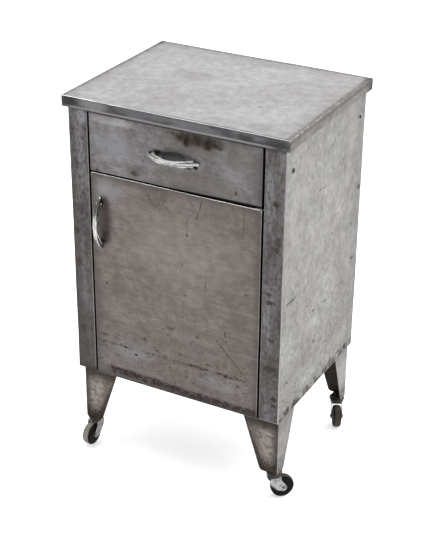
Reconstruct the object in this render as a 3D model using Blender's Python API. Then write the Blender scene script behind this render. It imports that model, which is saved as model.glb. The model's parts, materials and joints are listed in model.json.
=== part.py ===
"""Ward bedside cabinet in folded sheet steel: carcass, top, drawer, door, four legs and four casters.

Metres, +Z up, X across, -Y to the front. The origin is on the floor, under the middle of the whole
object with its pulls. Each piece is one named object, and pieces that touch keep GAP between them.
"""

import math

import bmesh
import bpy
from mathutils import Matrix, Vector

# Driving dimensions
SHEET = 0.0012  # steel sheet of the carcass, drawer and door
GAP = 0.0003  # between pieces that touch
REVEAL = 0.0035  # open joint round the drawer and the door
BODY_W = 0.481
BODY_D = 0.3775
BODY_H = 0.600  # bottom edge of the sides to the lower edge of the top's skirt
SKIRT_H = 0.023
OVERHANG = 0.009
SKIRT_CLEAR = 0.0025  # between the skirt's turned-in edge and the body
POST_W = 0.045  # front face of each side panel, beside the door
JAMB_D = 0.0145  # how far that face is folded back
LEG_DROP = 0.136
CASTER_H = 0.0675
DOOR_TOP = 0.4675  # above the bottom edge of the sides, like the next two
DRAWER_LOW = 0.471
DRAWER_TOP = 0.5955
LEAF_T = 0.0115  # thickness of the door and of the drawer's front
SHELF_H = 0.235

# Pulls
PULL_L = 0.115
PULL_RISE = 0.022  # bow of the grip above its tips
PULL_TIP = 0.0027
PULL_SCREWS = 0.096  # between the two screws

# Legs and casters
LEG_SHEET = 0.002
LEG_INSET = 0.0042
LEG_SETBACK_FRONT = 0.0152
LEG_SETBACK_BACK = 0.0076
KINGPIN_INSET = 0.0145
WHEEL_R = 0.0255
WHEEL_W = 0.020
TRAIL = 0.018
FORK_TOP = 0.0550
FORK_SHEET = 0.0017
FORK_GAP = 0.023  # between the fork's cheeks
AXLE_R = 0.003
PIVOT_R = 0.002

# Derived places
BODY_Z = CASTER_H + LEG_DROP
SKIRT_Z = BODY_Z + BODY_H
TOP_Z = SKIRT_Z + SKIRT_H
PULL_OUT = PULL_RISE + PULL_TIP + GAP
FRONT_Y = (PULL_OUT - BODY_D - OVERHANG) / 2
BACK_Y = FRONT_Y + BODY_D
HALF_W = BODY_W / 2
OPENING = HALF_W - POST_W  # half the width between the two posts
LEAF_HALF = OPENING - REVEAL
WALL = HALF_W - SHEET - GAP  # half the room between the side panels
BEHIND_LEAF = FRONT_Y + LEAF_T + 0.002
CAP_Z = TOP_Z - SHEET - GAP  # underside of the top sheet
BACK_SHEET_Y = BACK_Y - SHEET - GAP
PIVOT = Vector((LEAF_HALF - 0.004, FRONT_Y + LEAF_T / 2))
DRAWER_PULL = Vector((0.0, FRONT_Y - GAP, BODY_Z + 0.534))
DOOR_PULL = Vector((0.070 - HALF_W, FRONT_Y - GAP, BODY_Z + 0.359))

# Colour, roughness and metallic of each kind of finish
FINISHES = {
    "bare steel": ((0.40, 0.38, 0.37, 1.0), 0.48, 0.85),
    "light steel": ((0.55, 0.54, 0.52, 1.0), 0.50, 0.80),
    "dark steel": ((0.07, 0.06, 0.055, 1.0), 0.55, 0.70),
    "zinc": ((0.60, 0.61, 0.62, 1.0), 0.40, 0.95),
    "chrome": ((0.80, 0.80, 0.80, 1.0), 0.12, 1.0),
    "rubber": ((0.020, 0.018, 0.016, 1.0), 0.60, 0.0),
}

FOLD_STEPS = 3
AXES = {"X": 0, "Y": 1, "Z": 2}


# Shapes


def skin(rings, bored=False):
    """A closed mesh over rings of points, capped at both ends or, when bored, joined end to end."""
    bm = bmesh.new()
    loops = [[bm.verts.new(point) for point in ring] for ring in rings]
    following = loops[1:] + loops[:1] if bored else loops[1:]
    for ring, after in zip(loops, following):
        for i, vert in enumerate(ring):
            bm.faces.new((vert, ring[i - 1], after[i - 1], after[i]))
    if not bored:
        bm.faces.new(loops[0])
        bm.faces.new(loops[-1])
    bmesh.ops.recalc_face_normals(bm, faces=bm.faces)
    return bm


def spread(axis, across, up, along):
    """A point from two coordinates in the plane across an axis, and one along it."""
    if axis == "X":
        return Vector((along, across, up))
    if axis == "Y":
        return Vector((across, along, up))
    return Vector((across, up, along))


def prism(outline, low, high, axis):
    """An outline in the plane across an axis, extruded along it."""
    return skin([[spread(axis, a, b, end) for a, b in outline] for end in (low, high)])


def block(low, high):
    """A plain box between two corners."""
    outline = [(low[0], low[1]), (high[0], low[1]), (high[0], high[1]), (low[0], high[1])]
    return prism(outline, low[2], high[2], "Z")


def lathe(profile, steps, axis="Z", centre=(0.0, 0.0, 0.0), bored=False):
    """A turned solid from (radius, height) points, about an axis through a centre."""
    turns = [2 * math.pi * i / steps for i in range(steps)]
    rings = [
        [Vector(centre) + spread(axis, r * math.cos(t), r * math.sin(t), h) for t in turns]
        for r, h in profile
    ]
    return skin(rings, bored)


def rod(radius, low, high, steps, axis="Z", centre=(0.0, 0.0, 0.0)):
    """A plain round bar that cuts a hole."""
    return lathe([(radius, low), (radius, high)], steps, axis, centre)


def quarter(steps):
    """Angles of a quarter turn."""
    return [math.pi / 2 * i / steps for i in range(steps + 1)]


def rounded_rectangle(half_u, half_v, radius):
    """Corner-rounded rectangle about the origin."""
    points = []
    for side_u, side_v, start in ((1, 1, 0), (-1, 1, 1), (-1, -1, 2), (1, -1, 3)):
        for angle in quarter(FOLD_STEPS):
            turn = angle + start * math.pi / 2
            u = side_u * (half_u - radius) + radius * math.cos(turn)
            points.append((u, side_v * (half_v - radius) + radius * math.sin(turn)))
    return points


def tray_section(depth, sheet, fold, lip):
    """Inset and depth of each ring of a tray, from its outer face round the rim to its inner face."""
    section = [(fold * (1 - math.sin(a)), fold * (1 - math.cos(a))) for a in quarter(FOLD_STEPS)]
    section.append((0.0, depth))
    if lip:
        section += [(lip, depth), (lip, depth - sheet), (sheet, depth - sheet)]
    else:
        section.append((sheet, depth))
    inner = fold - sheet
    for a in quarter(FOLD_STEPS):
        section.append((sheet + inner * (1 - math.cos(a)), fold - inner * math.sin(a)))
    return section


def tray(low, high, opening, sheet=SHEET, corner=0.003, fold=0.0022, lip=0.0):
    """A folded tray that fills the box between two corners and is open towards, say, -Z."""
    sign = -1 if opening[0] == "-" else 1
    k = AXES[opening[1]]
    i, j = [n for n in range(3) if n != k]
    closed_face = low[k] if sign > 0 else high[k]
    middle = (Vector(low) + Vector(high)) / 2
    half = (Vector(high) - Vector(low)) / 2
    rings = []
    for inset, depth in tray_section(2 * half[k], sheet, fold, lip):
        radius = max(corner - inset, 0.0004)
        ring = []
        for u, v in rounded_rectangle(half[i] - inset, half[j] - inset, radius):
            point = Vector(middle)
            point[i] += u
            point[j] += v
            point[k] = closed_face + sign * depth
            ring.append(point)
        rings.append(ring)
    return skin(rings)


def folded_strip(path, sheet=SHEET, bend=0.002):
    """Outline of a sheet folded along its middle line, with a round bend at each corner."""
    path = [Vector(point) for point in path]
    middle = []

    def add(point, normal):
        middle.append((point, normal))

    first = (path[1] - path[0]).normalized()
    add(path[0], Vector((-first.y, first.x)))
    for before, corner, after in zip(path, path[1:], path[2:]):
        coming = (corner - before).normalized()
        going = (after - corner).normalized()
        turn = math.atan2(coming.x * going.y - coming.y * going.x, coming.dot(going))
        side = math.copysign(bend, turn)
        normal = Vector((-coming.y, coming.x))
        centre = corner - coming * bend * math.tan(abs(turn) / 2) + normal * side
        for step in range(FOLD_STEPS + 1):
            turned = Matrix.Rotation(turn * step / FOLD_STEPS, 2) @ normal
            add(centre - turned * side, turned)
    last = (path[-1] - path[-2]).normalized()
    add(path[-1], Vector((-last.y, last.x)))
    left = [point + normal * sheet / 2 for point, normal in middle]
    right = [point - normal * sheet / 2 for point, normal in middle]
    return left + right[::-1]


def bezier(start, pull_start, pull_end, end, steps):
    """Points along a cubic curve in the plane, the start left out."""
    points = []
    for i in range(1, steps + 1):
        t = i / steps
        weights = ((1 - t) ** 3, 3 * t * (1 - t) ** 2, 3 * t * t * (1 - t), t**3)
        ends = (start, pull_start, pull_end, end)
        points.append(tuple(sum(w * p[n] for w, p in zip(weights, ends)) for n in (0, 1)))
    return points


# Objects


def add(name, finish, bm, parent=None, round_piece=False):
    """Makes one named piece with its own material from a closed bmesh."""
    mesh = bpy.data.meshes.new(name)
    bm.to_mesh(mesh)
    bm.free()
    if round_piece:
        mesh.shade_smooth()
        mesh.set_sharp_from_angle(angle=math.radians(35))
    piece = bpy.data.objects.new(name, mesh)
    bpy.context.scene.collection.objects.link(piece)
    colour, roughness, metallic = FINISHES[finish]
    material = bpy.data.materials.new(name)
    material.use_nodes = True
    shader = material.node_tree.nodes["Principled BSDF"]
    shader.inputs["Base Color"].default_value = colour
    shader.inputs["Roughness"].default_value = roughness
    shader.inputs["Metallic"].default_value = metallic
    mesh.materials.append(material)
    if parent:
        piece.parent = parent
    return piece


def combine(piece, operation, bm):
    """Applies an exact Boolean of a closed shape to a piece."""
    mesh = bpy.data.meshes.new("tool")
    bm.to_mesh(mesh)
    bm.free()
    tool = bpy.data.objects.new("tool", mesh)
    bpy.context.scene.collection.objects.link(tool)
    modifier = piece.modifiers.new("combine", "BOOLEAN")
    modifier.operation = operation
    modifier.solver = "EXACT"
    modifier.object = tool
    bpy.context.view_layer.objects.active = piece
    bpy.ops.object.modifier_apply(modifier=modifier.name)
    bpy.data.objects.remove(tool)
    bpy.data.meshes.remove(mesh)


def joint(name, location, turn=0.0, parent=None):
    """An empty on the axis of a joint, which the pieces that move there hang on."""
    pivot = bpy.data.objects.new(name, None)
    pivot.location = location
    pivot.rotation_euler.z = turn
    pivot.parent = parent
    bpy.context.scene.collection.objects.link(pivot)
    return pivot


def hang(pivot, pieces):
    """Parents pieces that are modelled in place to the empty of their joint."""
    for piece in pieces:
        piece.parent = pivot
        piece.matrix_parent_inverse = Matrix.Translation(pivot.location).inverted()


# Carcass


def top_cover():
    """Top sheet with its folded skirt, whose lower edge is turned in towards the body."""
    low = (-HALF_W - OVERHANG, FRONT_Y - OVERHANG, SKIRT_Z)
    high = (HALF_W + OVERHANG, BACK_Y + OVERHANG, TOP_Z)
    lip = OVERHANG - SKIRT_CLEAR
    add("top_cover", "light steel", tray(low, high, "-Z", corner=0.003, fold=0.0024, lip=lip))


def side_panel(name, side):
    """Side wall, folded into the front post and its jamb, and into a flange at the back."""
    half = SHEET / 2
    wall, post = HALF_W - half, OPENING + half
    front, back, inner = FRONT_Y + half, BACK_Y - half, FRONT_Y + JAMB_D - half
    path = [
        (side * (HALF_W - 0.015), back),
        (side * wall, back),
        (side * wall, front),
        (side * post, front),
        (side * post, inner),
        (side * (OPENING + 0.012), inner),
    ]
    panel = add(name, "light steel", prism(folded_strip(path), BODY_Z, CAP_Z, "Z"))
    reach = (side * HALF_W - 0.005, side * HALF_W + 0.005)
    for hole_y in (FRONT_Y + 0.030, BACK_Y - 0.028):
        place = (0.0, hole_y, SKIRT_Z - 0.051)
        combine(panel, "DIFFERENCE", rod(0.0032, *reach, 16, "X", place))


def notch_posts(piece, low, high):
    """Cuts the front corners of a full-width pan clear of the two posts."""
    depth = FRONT_Y + JAMB_D + GAP
    for side in (-1, 1):
        inner, outer = sorted((side * (OPENING - GAP), side * HALF_W))
        combine(piece, "DIFFERENCE", block((inner, FRONT_Y - 0.01, low), (outer, depth, high)))


def across(name, finish, path, half_width):
    """A sheet folded in the Y-Z plane that runs across the cabinet."""
    return add(name, finish, prism(folded_strip(path), -half_width, half_width, "X"))


def back_panel():
    """Back sheet, inside the flanges of the side panels."""
    low = (-HALF_W + 0.003, BACK_SHEET_Y - SHEET, BODY_Z)
    high = (HALF_W - 0.003, BACK_SHEET_Y, CAP_Z)
    add("back_panel", "bare steel", block(low, high))


def bottom_pan():
    """Floor of the cupboard, with a front flange and a sill that runs out under the door."""
    sill = BODY_Z - GAP - SHEET / 2
    floor = BODY_Z + 0.030 - SHEET / 2
    front, back = BEHIND_LEAF + SHEET / 2, BACK_SHEET_Y - SHEET - GAP - SHEET / 2
    path = [(FRONT_Y + 0.0005, sill), (front, sill), (front, floor), (back, floor)]
    path.append((back, BODY_Z + 0.004))
    pan = across("bottom_pan", "bare steel", path, WALL)
    notch_posts(pan, BODY_Z - 0.01, BODY_Z + 0.04)
    hole = rod(PIVOT_R + 0.0003, -0.005, 0.005, 16, "Z", (*PIVOT, sill))
    combine(pan, "DIFFERENCE", hole)


def divider_panel():
    """Sheet between the drawer and the cupboard, with flanges down at the front and the back."""
    level = BODY_Z + DOOR_TOP + 0.0002 - SHEET / 2
    front, back = BEHIND_LEAF + SHEET / 2, BACK_SHEET_Y - SHEET - GAP - SHEET / 2
    path = [(front, level - 0.019), (front, level), (back, level), (back, level - 0.019)]
    divider = across("divider_panel", "bare steel", path, WALL)
    notch_posts(divider, level - 0.03, level + 0.01)


def header_rail():
    """Angle behind the top of the drawer's front, which ties the two posts together."""
    front, top = BEHIND_LEAF + SHEET / 2, CAP_Z - SHEET / 2
    path = [(front, BODY_Z + 0.572), (front, top), (front + 0.020, top)]
    across("header_rail", "bare steel", path, OPENING - GAP)


def shelf():
    """Loose shelf on its two brackets."""
    low = (-WALL + 0.001, FRONT_Y + 0.030, BODY_Z + SHELF_H - 0.012)
    high = (WALL - 0.001, BACK_SHEET_Y - SHEET - 0.002, BODY_Z + SHELF_H)
    add("shelf", "bare steel", tray(low, high, "-Z"))


def shelf_bracket(name, side):
    """Angle on the side wall that the shelf's rim rests on."""
    wall, level = WALL - SHEET / 2, BODY_Z + SHELF_H - 0.012 - GAP - SHEET / 2
    path = [(side * (wall - 0.013), level), (side * wall, level), (side * wall, level - 0.016)]
    low, high = FRONT_Y + JAMB_D + 0.006, BACK_SHEET_Y - SHEET - 0.004
    add(name, "zinc", prism(folded_strip(path, bend=0.0015), low, high, "Y"))


def carcass():
    top_cover()
    back_panel()
    bottom_pan()
    divider_panel()
    header_rail()
    shelf()
    for name, side in (("left", -1), ("right", 1)):
        side_panel(f"side_panel_{name}", side)
        shelf_bracket(f"shelf_bracket_{name}", side)


# Legs and casters


def flange_width(height, wide, narrow):
    """Width of a leg's flange at a height above its foot, with the free corner rounded off."""
    rounding = 0.006
    width = narrow + (wide - narrow) * height / LEG_DROP
    if height < rounding:
        width -= rounding - math.sqrt(rounding**2 - (rounding - height) ** 2)
    return width


def leg(corner, side, end):
    """Tapered angle. Its fold stands upright at a corner of the body, and the flanges run inwards."""
    bend = 0.003
    heights = [0.0, 0.0008, 0.0025, 0.006, LEG_DROP, LEG_DROP + 0.0282]
    outer = [(bend - bend * math.sin(a), bend - bend * math.cos(a)) for a in quarter(FOLD_STEPS)]
    thin = bend - LEG_SHEET
    inner = [(bend - thin * math.sin(a), bend - thin * math.cos(a)) for a in quarter(FOLD_STEPS)]
    rings = []
    for height in heights:
        front = flange_width(height, 0.080, 0.039)
        flank = flange_width(height, 0.075, 0.027)
        outline = outer + [(0.0, flank), (LEG_SHEET, flank)]
        outline += inner[::-1] + [(front, LEG_SHEET), (front, 0.0)]
        z = CASTER_H + height
        rings.append([(corner.x - side * u, corner.y - end * v, z) for u, v in outline])
    return skin(rings)


def foot_plate():
    """Square plate welded in the foot of a leg, bored for the caster's stem. Origin on the kingpin."""
    half = KINGPIN_INSET - LEG_SHEET - GAP
    steps = 16
    rim, bore = [], []
    for i in range(steps):
        turn = 2 * math.pi * i / steps
        c, s = math.cos(turn), math.sin(turn)
        reach = half / max(abs(c), abs(s))
        rim.append((reach * c, reach * s))
        bore.append((0.0045 * c, 0.0045 * s))
    low, high = CASTER_H + 0.0004, CASTER_H + 0.0034
    rings = [(rim, low), (rim, high), (bore, high), (bore, low)]
    return skin([[(x, y, z) for x, y in ring] for ring, z in rings], bored=True)


def caster_housing():
    """Fixed raceway with its stem, riveted over the foot plate and under the fork."""
    profile = [
        (0.0040, FORK_TOP - 0.0044),
        (0.0052, FORK_TOP - 0.0021),
        (0.0034, FORK_TOP - 0.0021),
        (0.0034, FORK_TOP + GAP),
        (0.0150, FORK_TOP + GAP),
        (0.0150, FORK_TOP + 0.0048),
        (0.0138, FORK_TOP + 0.0058),
        (0.0172, FORK_TOP + 0.0072),
        (0.0172, CASTER_H - 0.0016),
        (0.0160, CASTER_H - GAP),
        (0.0041, CASTER_H - GAP),
        (0.0041, CASTER_H + 0.0037),
        (0.0072, CASTER_H + 0.0037),
        (0.0050, CASTER_H + 0.0066),
    ]
    return lathe(profile, 20)


def fork_cheek():
    """Side view of the fork: square at the top, swept back and down to a round boss at the axle."""
    boss = 0.0075
    top = 0.0125

    def on_boss(degrees):
        turn = math.radians(degrees)
        return (TRAIL + boss * math.cos(turn), WHEEL_R + boss * math.sin(turn))

    outline = [(-top, FORK_TOP + 0.001), (top, FORK_TOP + 0.001)]
    back_edge = ((0.0128, 0.048), (0.0135, 0.042), (0.0215, 0.036), on_boss(25))
    outline += [back_edge[0]] + bezier(*back_edge, 4)
    outline += [on_boss(angle) for angle in (0, -30, -60, -90)]
    front_edge = (on_boss(-110), (0.004, 0.0205), (-0.0110, 0.032), (-top, 0.046))
    outline += [front_edge[0]] + bezier(*front_edge, 5)
    return outline


def caster_fork():
    """Bent strap over the wheel. Origin on the kingpin at floor level, the wheel trailing to +X."""
    side = FORK_GAP / 2 + FORK_SHEET / 2
    top = FORK_TOP - FORK_SHEET / 2
    path = [(-side, 0.010), (-side, top), (side, top), (side, 0.010)]
    return prism(folded_strip(path, FORK_SHEET, 0.0028), -0.03, 0.05, "X")


def shape_fork(fork):
    """Trims a fork's strap to its side view and bores it for the kingpin and the axle."""
    combine(fork, "INTERSECT", prism(fork_cheek(), -0.03, 0.03, "Y"))
    combine(fork, "DIFFERENCE", rod(0.0038, 0.048, 0.060, 12))
    axle_hole = rod(AXLE_R + GAP, -0.03, 0.03, 14, "Y", (TRAIL, 0.0, WHEEL_R))
    combine(fork, "DIFFERENCE", axle_hole)


def tyre():
    """Solid rubber tyre with a slightly crowned tread and recessed flanks, about its own Y axis."""
    flank = WHEEL_W / 2
    half = [(0.0073, flank - 0.0015), (0.0130, flank - 0.0015), (0.0145, flank)]
    half += [(0.0215, flank), (0.0245, flank - 0.0020)]
    profile = [(r, -h) for r, h in half] + [(WHEEL_R, 0.0)] + [(r, h) for r, h in half[::-1]]
    return lathe(profile, 28, "Y", bored=True)


def hub():
    """Steel sleeve in the tyre that turns on the axle."""
    end = FORK_GAP / 2 - GAP
    profile = [(AXLE_R + GAP, -end), (0.0069, -end), (0.0069, end), (AXLE_R + GAP, end)]
    return lathe(profile, 16, "Y", bored=True)


def axle():
    """Rivet through the fork and the hub, with a domed head at each end."""
    seat = FORK_GAP / 2 + FORK_SHEET + GAP
    half = [(0.0024, seat + 0.0022), (0.0044, seat + 0.0011), (0.0044, seat), (AXLE_R, seat)]
    profile = [(r, -h) for r, h in half] + [(r, h) for r, h in half[::-1]]
    return lathe(profile, 14, "Y")


def corner_set(tag, side, end, heading):
    """One leg with its foot plate and its caster, whose wheel trails towards the heading."""
    setback = LEG_SETBACK_FRONT if end < 0 else LEG_SETBACK_BACK
    face = FRONT_Y + setback if end < 0 else BACK_Y - setback
    corner = Vector((side * (HALF_W - LEG_INSET), face))
    add(f"leg_{tag}", "bare steel", leg(corner, side, end))
    kingpin = corner - Vector((side, end)) * KINGPIN_INSET
    swivel = joint(f"swivel_{tag}", (*kingpin, 0.0), math.radians(heading))
    plate = add(f"foot_plate_{tag}", "dark steel", foot_plate())
    plate.location = (*kingpin, 0.0)
    housing = add(f"caster_housing_{tag}", "dark steel", caster_housing(), round_piece=True)
    housing.location = (*kingpin, 0.0)
    fork = add(f"caster_fork_{tag}", "chrome", caster_fork())
    shape_fork(fork)
    fork.parent = swivel
    spin = joint(f"spin_{tag}", (TRAIL, 0.0, WHEEL_R), parent=swivel)
    add(f"caster_axle_{tag}", "zinc", axle(), spin, True)
    add(f"caster_tyre_{tag}", "rubber", tyre(), spin, True)
    add(f"caster_hub_{tag}", "zinc", hub(), spin, True)


def undercarriage():
    corner_set("front_right", 1, -1, 44.5)
    corner_set("front_left", -1, -1, -92.0)
    corner_set("back_right", 1, 1, -62.0)
    corner_set("back_left", -1, 1, -135.5)


# Pulls


def pull_heights(x):
    """Upper and lower face of a pull at a place along it, measured out from the door."""
    chord = PULL_L / 2
    radius = (chord**2 + PULL_RISE**2) / (2 * PULL_RISE)
    upper = math.sqrt(radius**2 - x**2) - (radius - PULL_RISE) + PULL_TIP
    grip, foot = 0.034, 0.045
    t = min(max((abs(x) - grip) / (foot - grip), 0.0), 1.0)
    lower = (upper - 0.0042) * (1 - t * t * (3 - 2 * t))
    return upper, max(lower, 0.0)


def pull():
    """Bow pull: a flat band that arches off the face, with solid feet. Base on Y = 0, out to -Y."""
    stations, points, square = 20, 10, 0.6
    rings = []
    for i in range(stations + 1):
        x = -PULL_L / 2 * math.cos(math.pi * i / stations)
        upper, lower = pull_heights(x)
        along = abs(x) / (PULL_L / 2)
        half_width = (0.0065 - 0.0016 * along**2) * math.sqrt(1.02 - along**12)
        ring = []
        for k in range(points):
            turn = 2 * math.pi * (k + 0.5) / points
            c, s = math.cos(turn), math.sin(turn)
            out = (upper + lower) / 2 + (upper - lower) / 2 * math.copysign(abs(s) ** square, s)
            ring.append((x, -out, half_width * math.copysign(abs(c) ** square, c)))
        rings.append(ring)
    return skin(rings)


def pull_screw():
    """Screw from behind the sheet into a foot of the pull, along +Y from the face of the door."""
    seat = GAP + SHEET + GAP
    profile = [(0.0012, -0.0046), (0.0018, -0.0040), (0.0018, seat), (0.0038, seat)]
    profile += [(0.0038, seat + 0.0014), (0.0028, seat + 0.0022)]
    return lathe(profile, 12, "Y")


def fit_pull(name, place, upright, sheet):
    """A pull with its two screws on a sheet, whose holes it drills."""
    direction = Vector((0, 0, 1)) if upright else Vector((1, 0, 0))
    piece = add(name, "chrome", pull(), round_piece=True)
    for side in (-1, 1):
        hole = (side * PULL_SCREWS / 2, 0.0, 0.0)
        combine(piece, "DIFFERENCE", rod(0.0022, -0.0052, 0.001, 8, "Y", hole))
    piece.location = place
    piece.rotation_euler.y = -math.pi / 2 if upright else 0.0
    made = [piece]
    for label, side in (("a", -1), ("b", 1)):
        at = place + direction * side * PULL_SCREWS / 2
        combine(sheet, "DIFFERENCE", rod(0.0022, -0.002, 0.005, 12, "Y", at))
        screw = add(f"{name}_screw_{label}", "zinc", pull_screw(), round_piece=True)
        screw.location = at
        made.append(screw)
    return made


# Drawer

DRAWER_HALF = 0.180
DRAWER_REAR = FRONT_Y + 0.340
RUNNER_Z = BODY_Z + 0.545


def drawer_runner(name, side):
    """Angle on the side of the drawer box, whose upper leg slides in the channel."""
    near, level = DRAWER_HALF + GAP + SHEET / 2, RUNNER_Z + SHEET / 2
    path = [(side * near, level - 0.015), (side * near, level), (side * (OPENING - 0.0008), level)]
    outline = folded_strip(path, bend=0.0015)
    return add(name, "zinc", prism(outline, FRONT_Y + 0.016, DRAWER_REAR - 0.002, "Y"))


def drawer_channel(name, side):
    """Channel between a post and the back panel that carries a runner."""
    web, tip = OPENING + 0.002, DRAWER_HALF + 0.004
    low, high = RUNNER_Z - GAP - SHEET / 2, RUNNER_Z + SHEET + 0.001 + SHEET / 2
    path = [(side * tip, low), (side * web, low), (side * web, high), (side * tip, high)]
    outline = folded_strip(path, bend=0.0012)
    start, stop = FRONT_Y + JAMB_D + GAP, BACK_SHEET_Y - SHEET - GAP
    add(name, "zinc", prism(outline, start, stop, "Y"))


def drawer():
    low = (-LEAF_HALF, FRONT_Y, BODY_Z + DRAWER_LOW)
    high = (LEAF_HALF, FRONT_Y + LEAF_T, BODY_Z + DRAWER_TOP)
    front = add("drawer_front", "bare steel", tray(low, high, "+Y", lip=0.034))
    low = (-DRAWER_HALF, FRONT_Y + LEAF_T + GAP, BODY_Z + 0.478)
    high = (DRAWER_HALF, DRAWER_REAR, BODY_Z + 0.562)
    box = add("drawer_box", "bare steel", tray(low, high, "+Z"))
    moving = [front, box] + fit_pull("drawer_pull", DRAWER_PULL, False, front)
    for name, side in (("left", -1), ("right", 1)):
        moving.append(drawer_runner(f"drawer_runner_{name}", side))
        drawer_channel(f"drawer_channel_{name}", side)
    hang(joint("drawer_slide", (0.0, FRONT_Y, BODY_Z + DRAWER_LOW)), moving)


# Door

LINER_T = 0.0008
LATCH_X = -0.150
TONGUE_Z = BODY_Z + 0.4382
TONGUE_T = 0.0015
TONGUE_Y = FRONT_Y + LEAF_T + GAP


def door_pin(name, tip, seat, head):
    """Pivot pin of the door, from its tapered tip through its seat to the outside of its flat head."""
    taper = math.copysign(0.0006, seat - tip)
    profile = [(0.0014, tip), (PIVOT_R, tip + taper), (PIVOT_R, seat), (0.0040, seat), (0.0040, head)]
    add(name, "zinc", lathe(profile, 16, "Z", (*PIVOT, 0.0)), round_piece=True)


def door_hinges(skin_sheet):
    """Pivot pins in the sill and in a leaf on the divider, and their holes in the door."""
    bottom, top = BODY_Z + 0.001, BODY_Z + DOOR_TOP
    for level in (bottom, top):
        hole = rod(PIVOT_R + 0.0001, level - 0.002, level + 0.002, 16, "Z", (*PIVOT, 0.0))
        combine(skin_sheet, "DIFFERENCE", hole)
    sill = BODY_Z - GAP - SHEET
    door_pin("hinge_pin_bottom", bottom + 0.008, sill - GAP, sill - 0.0013)
    leaf_low, leaf_high = top + 0.0005, top + 0.0019
    door_pin("hinge_pin_top", top - 0.008, leaf_high + GAP, top + 0.0030)
    low = (PIVOT.x - 0.011, FRONT_Y + 0.0008, leaf_low)
    high = (OPENING - 0.001, FRONT_Y + 0.040, leaf_high)
    leaf = add("hinge_leaf_top", "zinc", block(low, high))
    hole = rod(PIVOT_R + GAP, leaf_low - 0.001, leaf_high + 0.001, 16, "Z", (*PIVOT, 0.0))
    combine(leaf, "DIFFERENCE", hole)


def door_catch():
    """Friction catch under the divider, with a slot that takes the door's tongue."""
    head = BODY_Z + DOOR_TOP + 0.0002 - SHEET - GAP
    front, back, slot = FRONT_Y + 0.018, FRONT_Y + 0.042, FRONT_Y + 0.037
    low, high = TONGUE_Z - 0.0009, TONGUE_Z + TONGUE_T + 0.0009
    outline = [(front, head), (front, high), (slot, high), (slot, low), (front, low)]
    outline += [(front, low - 0.005), (back, low - 0.005), (back, head)]
    add("door_catch", "zinc", prism(outline, LATCH_X - 0.014, LATCH_X + 0.014, "X"))


def door_strike():
    """Bent tongue on the inside of the door."""
    plate = TONGUE_Y + TONGUE_T / 2
    level = TONGUE_Z + TONGUE_T / 2
    path = [(plate, TONGUE_Z - 0.020), (plate, level), (FRONT_Y + 0.032, level)]
    outline = folded_strip(path, TONGUE_T, 0.0015)
    return add("door_strike", "zinc", prism(outline, LATCH_X - 0.009, LATCH_X + 0.009, "X"))


def door():
    low = (-LEAF_HALF, FRONT_Y, BODY_Z + 0.001)
    high = (LEAF_HALF, FRONT_Y + LEAF_T, BODY_Z + DOOR_TOP)
    outer = add("door_skin", "bare steel", tray(low, high, "+Y"))
    edge = SHEET + GAP
    low = (-LEAF_HALF + edge, FRONT_Y + LEAF_T - 0.0035, BODY_Z + 0.001 + edge)
    high = (LEAF_HALF - edge, FRONT_Y + LEAF_T, BODY_Z + DOOR_TOP - edge)
    liner_shape = tray(low, high, "-Y", sheet=LINER_T, corner=0.002, fold=0.0014)
    liner = add("door_liner", "bare steel", liner_shape)
    moving = [outer, liner, door_strike()] + fit_pull("door_pull", DOOR_PULL, True, outer)
    door_hinges(outer)
    door_catch()
    hang(joint("door_hinge", (*PIVOT, BODY_Z)), moving)


def main():
    for leftover in list(bpy.data.objects):
        bpy.data.objects.remove(leftover)
    carcass()
    undercarriage()
    drawer()
    door()


main()
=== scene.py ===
"""Looks of the ward bedside cabinet: finer sheet metal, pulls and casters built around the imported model, with
procedural stripped steel, chrome, zinc and rubber, on a pale studio floor. Metres, +Z up, -Y to the front."""

import json
import math

import bmesh
import bpy
from mathutils import Matrix, Vector, noise


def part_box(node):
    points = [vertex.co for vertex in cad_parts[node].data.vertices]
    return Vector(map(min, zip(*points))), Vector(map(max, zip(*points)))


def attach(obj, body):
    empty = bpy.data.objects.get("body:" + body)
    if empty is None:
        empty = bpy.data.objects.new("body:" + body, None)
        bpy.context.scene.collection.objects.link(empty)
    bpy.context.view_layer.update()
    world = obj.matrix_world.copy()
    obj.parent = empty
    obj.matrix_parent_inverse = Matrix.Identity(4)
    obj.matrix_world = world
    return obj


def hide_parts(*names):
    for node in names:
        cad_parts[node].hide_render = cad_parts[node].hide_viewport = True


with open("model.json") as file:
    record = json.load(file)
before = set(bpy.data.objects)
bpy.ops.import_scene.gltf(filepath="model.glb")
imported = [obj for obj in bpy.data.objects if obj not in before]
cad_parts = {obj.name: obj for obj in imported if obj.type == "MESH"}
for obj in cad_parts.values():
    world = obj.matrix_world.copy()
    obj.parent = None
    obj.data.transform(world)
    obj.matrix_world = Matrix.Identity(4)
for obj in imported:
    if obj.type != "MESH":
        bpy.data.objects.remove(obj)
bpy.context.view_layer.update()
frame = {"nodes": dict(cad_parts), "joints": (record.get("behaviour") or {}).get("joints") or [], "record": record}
noise.seed_set(5)  # so that the sheets bend the same way on each run

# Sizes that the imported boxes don't tell, the same as in the CAD source
SHEET = 0.0012
GAP = 0.0003
OVERHANG = 0.009
HOLE_INSET = (0.03, 0.028)  # of the towel bar's holes from the front and the back
HOLE_DROP = 0.051
SKIRT_CLEAR = 0.0025
POST_W = 0.045
JAMB_D = 0.0145
LEG_SHEET = 0.002
LEG_DROP = 0.136
PULL_L = 0.115
PULL_RISE = 0.022
PULL_TIP = 0.0027
WHEEL_R = 0.0255
TRAIL = 0.018
FORK_TOP = 0.055
FORK_SHEET = 0.0017
FORK_GAP = 0.023
AXLE_R = 0.003

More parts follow.
